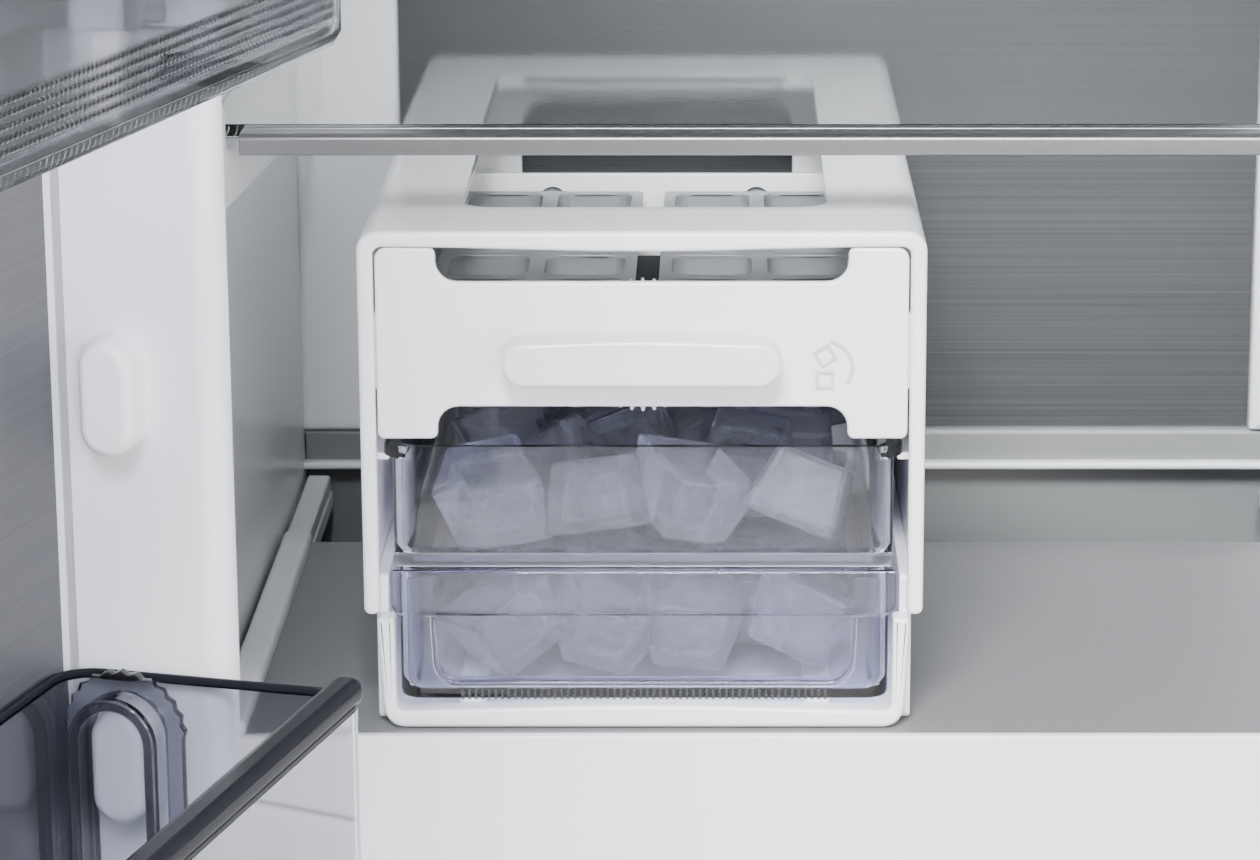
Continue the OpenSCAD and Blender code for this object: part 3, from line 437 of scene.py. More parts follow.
# ---- Ice maker: twist knob ----
# A solid white grip bar on a shaft through the front panel. The shaft carries the driving gear.
def gear(teeth, front, rear):
    """Spur gear of one millimetre module, in X and Z."""
    pitch_r = teeth / 2000
    root, tip, root_half, tip_half = pitch_r - 0.0012, pitch_r + 0.0009, 0.00095, 0.00035
    profile = ((root, -root_half), (tip, -tip_half), (tip, tip_half), (root, root_half))
    loop = []
    for i in range(teeth):
        for radius, side in profile:
            angle = 2 * math.pi * i / teeth + math.atan2(side, radius)
            reach = math.hypot(radius, side)
            loop.append((reach * math.cos(angle), reach * math.sin(angle)))
    return moulding([loop], front, rear, 0.0001, UPRIGHT, steps=1)


GEAR_FRONT, GEAR_BACK, KNOB_TEETH = 0.009, 0.014, 36
TRAY_TEETH = round(TRAY_PITCH * 1000) - KNOB_TEETH
knob_place = ice_place @ Matrix.Translation((0, 0, PIVOT_Z))
KNOB_FRONT, KNOB_BACK, KNOB_HALF, KNOB_FOOT, KNOB_SHOULDER = -0.012, -0.0005, 0.039, -0.0072, 0.0056
knob_bar = moulding([mirrored([(KNOB_HALF, KNOB_FOOT, 0.0062), (KNOB_HALF, KNOB_SHOULDER, 0.0056),
                               (0, -KNOB_FOOT, 0.4)], 8)],
                    KNOB_FRONT, KNOB_BACK, 0.0020, UPRIGHT, steps=5)
# Painted shade: the knob's white is darker than the panel's, standing in for the shading round the knob.
shaded_knob_white = finish("shaded_knob_white", (0.79, 0.795, 0.81), 0.26, (420, 420, 420), 0.06, Coat_Weight=0.2)
knob_shaft = rod((0, KNOB_BACK - 0.001, 0), (0, GEAR_BACK, 0), 0.005)
piece("ice_twist_knob", [knob_bar, knob_shaft, gear(KNOB_TEETH, GEAR_FRONT, GEAR_BACK)],
      shaded_knob_white, "twist_knob", "ice_white", "twist_knob", place=knob_place)


# ---- Ice maker: trays ----
# Two flexible, milky polyethylene trays, each with two columns of six tapered cells, a stiff rim,
# a gear on the front journal and a plain rear journal.
tray_milky = finish("tray_milky", (0.56, 0.57, 0.60), 0.30, (500, 500, 500), 0.1,
                    Transmission_Weight=0.65, IOR=1.45)
TRAY_FRONT, TRAY_LENGTH, TRAY_HALF, TRAY_RIM, TRAY_REACH = 0.017, 0.197, 0.0305, 0.004, 0.0313
CELL_ROWS, CELL_X, CELL_HALF_X, CELL_DEPTH, CELL_WALL, JOURNAL_R = 6, 0.0146, 0.0130, 0.0225, 0.0009, 0.0039
END_FOOT_HALF, END_TOP_HALF, END_FOOT, END_T = 0.025, 0.030, -0.015, 0.0015
cell_pitch = (TRAY_LENGTH - 0.003) / CELL_ROWS
cell_half_y = cell_pitch / 2 - 0.0013


def tray_cell(x, y):
    """A tapered cup with a round bottom, one millimetre thick."""
    stations = [(-CELL_DEPTH, 0.0075), (-CELL_DEPTH + 0.0008, 0.006), (-CELL_DEPTH + 0.004, 0.0038),
                (-0.001, 0.0), (TRAY_RIM - 0.0006, 0.0), (TRAY_RIM - 0.0006, CELL_WALL), (-0.001, CELL_WALL),
                (-CELL_DEPTH + 0.0043, 0.0048), (-CELL_DEPTH + 0.0016, 0.0068), (-CELL_DEPTH + 0.001, 0.0083)]
    return vessel([level(x - CELL_HALF_X + s, x + CELL_HALF_X - s, y - cell_half_y + s, y + cell_half_y - s,
                         0.0055, z, 4) for z, s in stations])


for side, name in ((-1, "left"), (1, "right")):
    cells = [(c * CELL_X, TRAY_FRONT + END_T + cell_pitch * (i + 0.5)) for c in (-1, 1)
             for i in range(CELL_ROWS)]
    rim = moulding([rectangle(-TRAY_HALF, TRAY_HALF, TRAY_FRONT, TRAY_FRONT + TRAY_LENGTH, 0.003)]
                   + [rectangle(x - CELL_HALF_X + CELL_WALL, x + CELL_HALF_X - CELL_WALL,
                                y - cell_half_y + CELL_WALL, y + cell_half_y - CELL_WALL, 0.005, 4)
                      for x, y in cells],
                   TRAY_RIM - 0.0014, TRAY_RIM, 0.0004)
    end_loop = mirrored([(END_FOOT_HALF, END_FOOT, 0.003), (END_TOP_HALF, TRAY_RIM - 0.001, 0.001)])
    ends = [moulding([end_loop], y, y + END_T, 0.0004, UPRIGHT)
            for y in (TRAY_FRONT, TRAY_FRONT + TRAY_LENGTH - END_T)]
    drive = gear(TRAY_TEETH, GEAR_FRONT, GEAR_BACK)
    drive.transform(Matrix.Rotation(math.pi / TRAY_TEETH, 4, "Y"))
    journals = [rod((0, 0.0023, 0), (0, TRAY_FRONT, 0), JOURNAL_R),
                rod((0, TRAY_FRONT + TRAY_LENGTH, 0), (0, CROSS_Y + 0.004, 0), JOURNAL_R)]
    piece(f"ice_tray_{name}_cells", [rim, *ends, drive, *journals, *[tray_cell(x, y) for x, y in cells]],
          tray_milky, f"ice_tray_{name}", "tray_white", f"ice_tray_{name}",
          place=ice_place @ Matrix.Translation((side * TRAY_PITCH / 2, 0, PIVOT_Z)))


# ---- Ice maker: buckets ----
# Clear polystyrene with a blue-violet cast. The upper one hangs by its flanges, the lower one has a wide
# pull lip, a raised U on its front and a strip of fine upright ribs.
def clear_plastic(name, tint, roughness, shade, ior=1.5):
    """Clear plastic or glass: sharp refraction, and a tinted shadow in place of a black one."""
    material = finish(name, tint, roughness, (300, 300, 300), 0.02, 0.000004,
                      Transmission_Weight=1.0, IOR=ior)
    tree = material.node_tree
    shader = tree.nodes["Principled BSDF"]
    shadow = tree.nodes.new("ShaderNodeBsdfTransparent")
    shadow.inputs["Color"].default_value = (*shade, 1)
    path = tree.nodes.new("ShaderNodeLightPath")
    mix = tree.nodes.new("ShaderNodeMixShader")
    tree.links.new(path.outputs["Is Shadow Ray"], mix.inputs["Fac"])
    tree.links.new(shader.outputs["BSDF"], mix.inputs[1])
    tree.links.new(shadow.outputs["BSDF"], mix.inputs[2])
    tree.links.new(mix.outputs["Shader"], tree.nodes["Material Output"].inputs["Surface"])
    return material


violet_clear = clear_plastic("violet_clear", (0.835, 0.84, 0.925), 0.025, (0.88, 0.885, 0.94))
BUCKET_WALL, BUCKET_DEPTH, RIM_Z, UPPER_FLOOR = 0.0022, 0.238, ICE_HEIGHT - 0.0622, 0.048


def bucket(half, front, back, foot, top, flange, lift):
    """Open box with round corners: outside up to a flange of the given width and height, then down inside."""
    w = BUCKET_WALL
    outside = [(foot, 0.0014), (foot + 0.0006, 0.0004), (foot + 0.002, 0), (top - lift - 0.0008, 0)]
    rows = [level(-half + s, half - s, front + s, back - s, 0.006, z) for z, s in outside]
    for z, out in ((top - lift, flange), (top - 0.0006, flange), (top, flange - 0.0005)):
        rows.append(level(-half - out, half + out, front, back, 0.007, z))
    for z, s in ((top, w), (foot + w + 0.004, w), (foot + w + 0.001, w + 0.001), (foot + w, w + 0.004)):
        rows.append(level(-half + s, half - s, front + s, back - s, 0.005, z))
    return vessel(rows)


upper = bucket(0.0715, 0.0005, BUCKET_DEPTH, UPPER_FLOOR, RIM_Z, 0.0024, 0.0034)
BACK_WALL_TOP = PIVOT_Z - TRAY_REACH - 0.0005
upper = cut(upper, moulding([rectangle(-0.0693, 0.0693, BACK_WALL_TOP, RIM_Z + 0.02, 0.003)],
                            BUCKET_DEPTH - 0.006, BUCKET_DEPTH + 0.01, 0.0002, UPRIGHT))
upper_band = moulding([rectangle(-0.0714, 0.0714, UPPER_FLOOR + 0.0002, UPPER_FLOOR + 0.0042, 0.0012)],
                      0.0005, 0.0026, 0.0006, UPRIGHT)
piece("ice_bucket_upper_box", [upper], violet_clear, "ice_bucket_upper", "clear_violet",
      "ice_bucket_upper", place=ice_place)
# Painted highlight: a lighter, rougher copy of the clear plastic in a strip along the upper bucket's foot,
# for the bright edge of its base.
edge_light = clear_plastic("edge_light", (0.90, 0.91, 0.97), 0.38, (0.9, 0.91, 0.97))
piece("ice_bucket_upper_edge", [upper_band], edge_light, "ice_bucket_upper", "clear_violet",
      "ice_bucket_upper", place=ice_place)

LIP_FOOT, LOWER_TOP, LOWER_FLOOR = 0.0335, 0.0469, 0.0075
lower = bucket(0.0705, 0.003, BUCKET_DEPTH - 0.003, LOWER_FLOOR, LOWER_TOP, 0, 0.002)
pull_lip = moulding([mirrored([(0.0725, LIP_FOOT, 0.004), (0.0725, LOWER_TOP, 0.001)])], 0.0005, 0.003,
                    0.0007, UPRIGHT)
window_top = LIP_FOOT - 0.0005
window = moulding([mirrored([(0.0585, 0.0135, 0.006), (0.0600, window_top, 0.001),
                             (0.0615, window_top, 0.001), (0.0605, 0.0118, 0.0075)])],
                  0.0017, 0.0035, 0.0005, UPRIGHT)
# Painted shade: a darker violet U just behind the lower bucket's front, standing in for the shade along its
# sides and foot.
violet_painted_shade = clear_plastic("violet_painted_shade", (0.57, 0.58, 0.73), 0.22, (0.74, 0.75, 0.86))
side_shade = moulding([mirrored([(0.0675, 0.0105, 0.004), (0.0675, 0.044, 0.001), (0.0605, 0.044, 0.001),
                                 (0.0590, 0.0140, 0.006)])], 0.0054, 0.0062, 0.0002, UPRIGHT)
piece("ice_bucket_lower_shade", [side_shade], violet_painted_shade, "ice_bucket_lower", "clear_violet",
      "ice_bucket_lower", place=ice_place)
RIB_PITCH, RIB_COUNT, RIB_HALF = 0.0019, 56, 0.0005
ribs = [moulding([rectangle(x - RIB_HALF, x + RIB_HALF, 0.0078, 0.0114, 0.0003, 2)], 0.0022, 0.0033, 0.0002,
                 UPRIGHT, 1) for x in ((i - (RIB_COUNT - 1) / 2) * RIB_PITCH for i in range(RIB_COUNT))]
piece("ice_bucket_lower_box", [lower, pull_lip, window, *ribs], violet_clear, "ice_bucket_lower",
      "clear_violet", "ice_bucket_lower", place=ice_place)


# ---- Ice cubes ----
# Tapered cubes as the trays make them, clear at the edges and milky with fine bubbles in the middle.
# They lie as they fell, a loose heap in each bucket, and move with it.
clear_ice = finish("clear_ice", (0.86, 0.88, 0.97), 0.05, (240, 240, 240), 0.22, 0.0004,
                   Transmission_Weight=0.95, IOR=1.31)
bubble_ice = finish("bubble_ice", (0.95, 0.96, 1.0), 0.5, (620, 620, 620), 0.3, 0.0008)
bubble_tree = bubble_ice.node_tree
bubble_mask = bubble_tree.nodes.new("ShaderNodeValToRGB")
for stop, position, milk in zip(bubble_mask.color_ramp.elements, (0.46, 0.66), (0.02, 0.15)):
    stop.position = position
    stop.color = (milk, milk, milk, 1)
bubble_group = next(n for n in bubble_tree.nodes if n.type == "GROUP")
bubble_tree.links.new(bubble_group.outputs["Height"], bubble_mask.inputs["Fac"])
bubble_tree.links.new(bubble_mask.outputs["Color"], bubble_tree.nodes["Principled BSDF"].inputs["Alpha"])
CUBE_TOP, CUBE_FOOT, CUBE_HEIGHT, CUBE_STRETCH = 0.0142, 0.0108, 0.021, 1.08
HEAP_ROWS, HEAP_HALF, HEAP_FRONT, HEAP_PITCH = 7, 0.0435, 0.0245, 0.0305


def ice_cube(shrink, bevel):
    """Four-sided block, wide end up, with rounded edges."""
    mould = bmesh.new()
    bmesh.ops.create_cube(mould, size=1)
    for vertex in mould.verts:
        half = (CUBE_TOP if vertex.co.z > 0 else CUBE_FOOT) * shrink
        vertex.co = (math.copysign(half, vertex.co.x), math.copysign(half * CUBE_STRETCH, vertex.co.y),
                     math.copysign(CUBE_HEIGHT / 2 * shrink, vertex.co.z))
    bmesh.ops.bevel(mould, geom=mould.edges[:], offset=bevel, segments=3, profile=0.5, affect="EDGES")
    bmesh.ops.recalc_face_normals(mould, faces=mould.faces)
    mesh = bpy.data.meshes.new("ice_cube")
    mould.to_mesh(mesh)
    mould.free()
    return mesh


chance = random.Random(23)
for bucket_name, bed in (("upper", UPPER_FLOOR + 0.0155), ("lower", LOWER_FLOOR + 0.0165)):
    cubes, cores = [], []
    for row in range(HEAP_ROWS):
        across = 4 if row % 2 == 0 else 3
        for i in range(across):
            turn = Matrix.Rotation(math.radians(chance.uniform(-28, 28)), 4, "Z") \
                @ Matrix.Rotation(math.radians(chance.choice((-1, 1)) * chance.uniform(6, 26)), 4, "X") \
                @ Matrix.Rotation(math.radians(chance.choice((-1, 1)) * chance.uniform(6, 30)), 4, "Y") \
                @ Matrix.Rotation(math.pi * chance.randint(0, 1), 4, "X")
            x = (i - (across - 1) / 2) * HEAP_HALF * 2 / 3
            place = Matrix.Translation((x + chance.uniform(-0.003, 0.003), HEAP_FRONT + row * HEAP_PITCH,
                                        bed + chance.uniform(0, 0.002)))
            for heap, shrink, bevel in ((cubes, 1, 0.0017), (cores, 0.74, 0.0035)):
                heap.append(ice_cube(shrink, bevel))
                heap[-1].transform(place @ turn)
    piece(f"ice_cubes_{bucket_name}", cubes, clear_ice, f"ice_bucket_{bucket_name}", "tray_white",
          place=ice_place, sharp=60)
    piece(f"ice_bubbles_{bucket_name}", cores, bubble_ice, f"ice_bucket_{bucket_name}", "tray_white",
          place=ice_place, sharp=60)


# ---- Liners ----
# Each compartment is a vacuum-formed white shell with rounded back corners, a step over the machine
# room, wedge-shaped shelf ledges with a stop at the front, and runners for the drawers.
liner_white = finish("liner_white", (0.82, 0.83, 0.85), 0.30, (260, 260, 260), 0.08, 0.00002, Coat_Weight=0.1)
LINER_T, LEDGE_WIDTH, RUNNER_HEIGHT = 0.002, 0.010, 0.006
shell_low, shell_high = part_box("freezer_liner")
FLOOR_Z, ROOF_Z, FRONT_Y = shell_low.z + LINER_T, shell_high.z - LINER_T, shell_low.y
BACK_Y = shell_high.y - LINER_T
machine_top, machine_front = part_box("machine_room_cover")[1].z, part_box("crisper_lower")[1].y + 0.010
STEP_Z, STEP_Y = machine_top + 0.042, machine_front


def cavity_x(node):
    """The inner faces of a liner's side walls."""
    low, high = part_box(node)
    return low.x + LINER_T, high.x - LINER_T


def tops(node):
    """Heights of the separate plates of a node, from their highest corners."""
    return sorted({round(v.co.z, 4) for v in nodes[node].data.vertices})[1::2]


def liner(node, glass, front_y, back_y, drawers):
    """The parts of one compartment: the shell, its side walls, shelf ledges and drawer runners."""
    x0, x1 = cavity_x(node)
    t = LINER_T
    shell = [(FRONT_Y, FLOOR_Z - t, 0), (STEP_Y + t, FLOOR_Z - t, 0.006), (STEP_Y + t, STEP_Z - t, 0.012),
             (BACK_Y + t, STEP_Z - t, 0.014), (BACK_Y + t, ROOF_Z + t, 0.014), (FRONT_Y, ROOF_Z + t, 0),
             (FRONT_Y, ROOF_Z, 0), (BACK_Y, ROOF_Z, 0.012), (BACK_Y, STEP_Z, 0.012), (STEP_Y, STEP_Z, 0.014),
             (STEP_Y, FLOOR_Z, 0.004), (FRONT_Y, FLOOR_Z, 0)]
    parts = [moulding([fillet(shell)], x0 - t, x1 + t, 0.0003, SIDEWAYS)]
    side_wall = [(FRONT_Y, FLOOR_Z - t, 0), (STEP_Y + t, FLOOR_Z - t, 0), (STEP_Y + t, STEP_Z - t, 0),
                 (BACK_Y + t, STEP_Z - t, 0), (BACK_Y + t, ROOF_Z + t, 0), (FRONT_Y, ROOF_Z + t, 0)]
    parts += [moulding([fillet(side_wall)], x, x + t, 0.0003, SIDEWAYS) for x in (x0 - t, x1)]
    for z in (top - GLASS_T for top in tops(glass)):
        wedge = [(front_y - 0.014, z - 0.016, 0.005), (front_y - 0.014, z + 0.014, 0.006),
                 (front_y - 0.003, z + 0.014, 0.004), (front_y - 0.003, z, 0.0015), (back_y, z, 0.001),
                 (back_y, z - 0.038, 0.004)]
        parts += [moulding([fillet(wedge)], *span(a, b), 0.0016, SIDEWAYS)
                  for a, b in ((x0 - 0.001, x0 + LEDGE_WIDTH), (x1 + 0.001, x1 - LEDGE_WIDTH))]
    for drawer in drawers:
        low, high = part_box(drawer)
        top = high.z - 0.0265
        rail = [(low.y + 0.020, top - RUNNER_HEIGHT, 0.002), (low.y + 0.020, top, 0.003),
                (high.y + 0.008, top, 0.002), (high.y + 0.008, top - RUNNER_HEIGHT, 0.002)]
        parts += [moulding([fillet(rail)], *span(a, b), 0.001, SIDEWAYS)
                  for a, b in ((x0 - 0.001, x0 + 0.009), (x1 + 0.001, x1 - 0.009))]
    return parts


GLASS_T = 0.004
freezer_x, fridge_x = cavity_x("freezer_liner"), cavity_x("fridge_liner")
cover_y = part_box("freezer_rear_panel")[1].y
deck_low, deck_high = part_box("ice_deck")
DECK_RIM, DECK_T, DECK_LEDGE = 0.004, 0.006, 0.006
deck_top = deck_high.z - DECK_RIM
deck_ledges = [moulding([rectangle(deck_low.y + 0.004, cover_y - 0.010, deck_top - DECK_T - DECK_LEDGE,
                                   deck_top - DECK_T, 0.001)], x, x + LEDGE_WIDTH, 0.0006, SIDEWAYS)
               for x in (freezer_x[0], freezer_x[1] - LEDGE_WIDTH)]
freezer_parts = liner("freezer_liner", "freezer_shelf_glass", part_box("freezer_shelf_trims")[0].y,
                      cover_y - 0.010, [f"freezer_drawer_{n}" for n in ("upper", "middle", "lower")])
fridge_parts = liner("fridge_liner", "fridge_shelf_glass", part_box("fridge_shelf_glass")[0].y,
                     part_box("fridge_duct_cover")[0].y - 0.010, ["crisper_upper", "crisper_lower"])
piece("freezer_liner_shell", freezer_parts + deck_ledges, liner_white, "cabinet", "liner_white",
      "freezer_liner")
piece("fridge_liner_shell", fridge_parts, liner_white, "cabinet", "liner_white", "fridge_liner")


# ---- Evaporator cover ----
# A moulded cover in front of the cooling coil: white with side pilasters and a lip above the deck; its foot
# and its raised band are painted dark grey as shade. It has air slots and carries the brushed dark steel
# sheet.
sheet_low, sheet_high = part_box("freezer_rear_panel")
PLATE_T, PILASTER_T, BAND_T, LIP_T = 0.003, 0.008, 0.006, 0.010
slot_z = ROOF_Z - 0.14
middle_x = sum(freezer_x) / 2
slots = [rectangle(middle_x - 0.09, middle_x + 0.09, z, z + 0.006, 0.0025, 3)
         for z in (slot_z + i * 0.016 for i in range(6))]
low_slots = [rectangle(middle_x + i * 0.03 - 0.01, middle_x + i * 0.03 + 0.01, STEP_Z + 0.020, STEP_Z + 0.026,
                       0.0025, 3) for i in range(-4, 5)]
fan_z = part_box("evaporator_fan")[0].z + 0.055
cover_parts = [moulding([rectangle(*freezer_x, deck_top, ROOF_Z, 0.001)] + slots, cover_y, cover_y + PLATE_T,
                        0.0006, UPRIGHT)]
for a, b in ((freezer_x[0] - 0.0005, sheet_low.x), (sheet_high.x, freezer_x[1] + 0.0005)):
    cover_parts.append(moulding([rectangle(a, b, sheet_low.z, sheet_high.z, 0.001)], cover_y - PILASTER_T,
                                cover_y + 0.001, 0.0025, UPRIGHT))
wide = (freezer_x[0] - 0.0015, freezer_x[1] + 0.0015)
cover_parts.append(moulding([rectangle(*wide, deck_top + 0.0012, deck_top + 0.0040, 0.0012)],
                            cover_y - LIP_T, cover_y + 0.001, 0.0012, UPRIGHT))
cover_parts += [rod((middle_x, cover_y + 0.001, fan_z), (middle_x, cover_y + reach, fan_z), radius)
                for reach, radius in ((0.034, 0.004), (0.012, 0.012))]
piece("evaporator_cover_shell", cover_parts, liner_white, "cabinet", "liner_white", "evaporator_cover")
# Painted shade: this dark grey stands in for the shade on the deck plate and on the cover's foot and band.
deck_grey = finish("deck_grey", (0.205, 0.208, 0.215), 0.42, (400, 400, 400), 0.08)
lower_cover = moulding([rectangle(*freezer_x, STEP_Z, deck_top + 0.0005, 0.001)] + low_slots, cover_y,
                       cover_y + PLATE_T, 0.0006, UPRIGHT)
cover_band = moulding([rectangle(*wide, deck_top + 0.0012, sheet_low.z + 0.0002, 0.001)],
                      cover_y - BAND_T, cover_y + 0.001, 0.002, UPRIGHT)
piece("evaporator_cover_foot", [lower_cover, cover_band], deck_grey, "cabinet", "deck_grey",
      "evaporator_cover")


def wear(node, material):
    """Gives a CAD mesh a single material."""
    nodes[node].data.materials.clear()
    nodes[node].data.materials.append(material)


brushed_dark = finish("brushed_dark_steel", (0.070, 0.071, 0.077), 0.52, (3, 3, 1500), 0.28, 0.00003,
                      darker=(0.042, 0.043, 0.048), Metallic=0.1, Specular_IOR_Level=0.2)
wear("freezer_rear_panel", brushed_dark)


# ---- Deck ----
# The plate the ice maker stands on, painted dark grey as shade, between two raised white rims, with a white
# apron in front.
DECK_DEPTH = 0.199
plate_front, plate_back = deck_low.y + 0.002, deck_low.y + DECK_DEPTH
deck_parts = [moulding([rectangle(deck_low.x, deck_high.x, plate_front, plate_back, 0.002)],
                       deck_top - DECK_T, deck_top, 0.0012)]
deck_rims = []
for sign, edge_x in ((1, deck_low.x), (-1, deck_high.x)):
    deck_rims.append(moulding([rectangle(*span(edge_x + sign * 0.0005, edge_x + sign * 0.010), plate_front,
                                         plate_back, 0.002)], deck_top - 0.003, deck_high.z, 0.0018))
    deck_rims.append(moulding([rectangle(*span(edge_x, edge_x + sign * 0.008), plate_back - 0.002,
                                         deck_high.y, 0.001)], deck_top - DECK_T, deck_top, 0.001))
piece("deck_plate", deck_parts, deck_grey, "cabinet", "deck_grey", "ice_deck")
apron = moulding([rectangle(deck_low.x, deck_high.x, deck_low.z, deck_top, 0.001)],
                 deck_low.y, deck_low.y + 0.0035, 0.001, UPRIGHT)
piece("deck_apron", [apron, *deck_rims], liner_white, "cabinet", "liner_white", "ice_deck")


# ---- Shelves ----
# Float glass plates whose front edges sit in extruded satin aluminium trims with a groove on top.
satin_aluminium = finish("satin_aluminium", (0.24, 0.24, 0.245), 0.36, (1500, 900, 900), 0.14, 0.00003,
                         Metallic=1.0)
shelf_glass = clear_plastic("shelf_glass", (0.97, 0.985, 0.985), 0.02, (0.96, 0.98, 0.98))
for side in ("freezer", "fridge"):
    low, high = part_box(f"{side}_shelf_glass")
    trim_low, trim_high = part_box(f"{side}_shelf_trims")
    glass_tops = tops(f"{side}_shelf_glass")
    panes = [moulding([rectangle(low.x, high.x, low.y, high.y, 0.003)], z - GLASS_T, z, 0.0007)
             for z in glass_tops]
    piece(f"{side}_shelf_panes", panes, shelf_glass, "cabinet", "shelf_glass", f"{side}_shelf_glass")
    trims = []
    for z in glass_tops:
        front, rear, foot = trim_low.y, trim_high.y, z - GLASS_T - 0.002
        groove, top = foot + 0.0052, foot + 0.006
        profile = [(front, foot, 0.0008), (front, groove, 0.0012), (front + 0.002, top, 0.0006),
                   (front + 0.0095, top, 0.0003), (front + 0.0098, groove, 0.0003),
                   (front + 0.0108, groove, 0.0003), (front + 0.0111, top, 0.0003),
                   (rear, top, 0.0004), (rear, foot, 0.0006)]
        trims.append(moulding([fillet(profile, 4)], trim_low.x, trim_high.x, 0.0004, SIDEWAYS))
    piece(f"{side}_shelf_edges", trims, satin_aluminium, "cabinet", "satin_aluminium", f"{side}_shelf_trims")


# ---- Drawers ----
# White freezer drawers and smoky clear crispers: a thick front with a scooped grip behind its top
# edge, a box, and flanges that slide on the liner's runners.
smoky_clear = clear_plastic("smoky_clear", (0.52, 0.525, 0.56), 0.03, (0.72, 0.725, 0.76))
DRAWER_FRONT, DRAWER_WALL = 0.014, 0.0025


def drawer(node):
    """A drawer that fills the box of its node."""
    low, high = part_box(node)
    front = moulding([rectangle(low.x, high.x, low.z, high.z, 0.004)], low.y, low.y + DRAWER_FRONT, 0.003,
                     UPRIGHT, steps=4)
    scoop = moulding([rectangle(low.x + 0.07, high.x - 0.07, high.z - 0.016, high.z + 0.02, 0.006)],
                     low.y + 0.004, low.y + DRAWER_FRONT + 0.01, 0.002, UPRIGHT)
    x0, x1 = low.x + 0.012, high.x - 0.012
    y0, y1 = low.y + DRAWER_FRONT - DRAWER_WALL, high.y
    z0, z1, w = low.z + 0.002, high.z - 0.020, DRAWER_WALL
    rows = [level(x0 + s, x1 - s, y0, y1 - s, 0.008, z) for z, s in
            ((z0, 0.004), (z0 + 0.001, 0.0015), (z0 + 0.004, 0), (z1, 0))]
    rows += [level(x0 + w + s, x1 - w - s, y0 + w + s, y1 - w - s, 0.006, z) for z, s in
             ((z1, 0), (z0 + w + 0.004, 0), (z0 + w + 0.001, 0.001), (z0 + w, 0.004))]
    flanges = [moulding([rectangle(a, b, low.y + DRAWER_FRONT - 0.001, high.y, 0.0015)],
                        high.z - 0.026, high.z - 0.020, 0.001)
               for a, b in ((low.x + 0.002, x0 + 0.001), (x1 - 0.001, high.x - 0.002))]
    return [cut(front, scoop), vessel(rows), *flanges]


drawer_kinds = (("freezer_drawer", ("upper", "middle", "lower"), liner_white, "liner_white"),
                ("crisper", ("upper", "lower"), smoky_clear, "smoky_clear"))
for kind, names, material, colour in drawer_kinds:
    for name in names:
        node = f"{kind}_{name}"
        piece(f"{node}_box", drawer(node), material, node, colour, node)


# ---- Door liners ----
# A white formed sheet with a raised ridge all round, round at its tip, and rows of oval hooks on the
# inner faces of the ridge. The bins hang on the hooks.
def door_turn(name):
    """The turn from a door's shut place to its place at rest."""
    joint = joints[name]
    spot = Matrix.Translation(joint["pos_m"])
    swing = Matrix.Rotation(math.radians(-joint["range_deg"][0]), 4, Vector(joint["axis"]))
    return spot @ swing @ spot.inverted()


def closed_box(node, turn):
    """The box of a door's node with the door swung shut."""
    places = [turn.inverted() @ vertex.co for vertex in nodes[node].data.vertices]
    return (Vector([min(p[i] for p in places) for i in range(3)]),
            Vector([max(p[i] for p in places) for i in range(3)]))


RIDGE_CLEAR, RIDGE_W, RIDGE_H, PANEL_IN = 0.004, 0.012, 0.040, 0.006
HOOK_PITCH, HOOK_H, HOOK_W, HOOK_OUT, HOOK_DEPTH = 0.084, 0.026, 0.0125, 0.009, 0.017
HOOK_Z0 = deck_top + 0.079
hook_rows = range(-8, 10)
doors = {"freezer": (door_turn("freezer_door_swing"), freezer_x),
         "fridge": (door_turn("fridge_door_swing"), fridge_x)}
for side, (turn, cavity) in doors.items():
    low, high = closed_box(f"{side}_door_liner", turn)
    tip_y = high.y
    panel_y = tip_y - RIDGE_H
    ridge = (cavity[0] + RIDGE_CLEAR, cavity[1] - RIDGE_CLEAR, FLOOR_Z + RIDGE_CLEAR, ROOF_Z - RIDGE_CLEAR)
    pan = (ridge[0] + RIDGE_W, ridge[1] - RIDGE_W, ridge[2] + RIDGE_W, ridge[3] - RIDGE_W)
    parts = [moulding([rectangle(low.x, high.x, low.z, high.z, 0.006), rectangle(*pan, 0.010)],
                      low.y, panel_y + PANEL_IN, 0.0012, UPRIGHT),
             moulding([rectangle(pan[0] - 0.002, pan[1] + 0.002, pan[2] - 0.002, pan[3] + 0.002, 0.010)],
                      low.y, panel_y, 0.0008, UPRIGHT),
             moulding([rectangle(*ridge, 0.014), rectangle(*pan, 0.010)], low.y + 0.0005, tip_y, 0.0052,
                      UPRIGHT, steps=6)]
    hook_y = panel_y + HOOK_DEPTH
    for k in hook_rows:
        z = HOOK_Z0 + k * HOOK_PITCH
        outline = rectangle(hook_y - HOOK_W / 2, hook_y + HOOK_W / 2, z - HOOK_H / 2, z + HOOK_H / 2,
                            HOOK_W / 2 - 0.0001, 8)
        for a, b in ((pan[0] - 0.003, pan[0] + HOOK_OUT), (pan[1] - HOOK_OUT, pan[1] + 0.003)):
            parts.append(moulding([outline], a, b, 0.0024, SIDEWAYS, steps=4))
    piece(f"{side}_door_lining", parts, liner_white, f"{side}_door", "liner_white", f"{side}_door_liner",
          place=turn)
brushed_door = finish("brushed_door_steel", (0.105, 0.106, 0.114), 0.50, (3, 3, 1500), 0.28, 0.00003,
                      darker=(0.064, 0.065, 0.072), Metallic=0.2)
wear("freezer_door_panel", brushed_door)


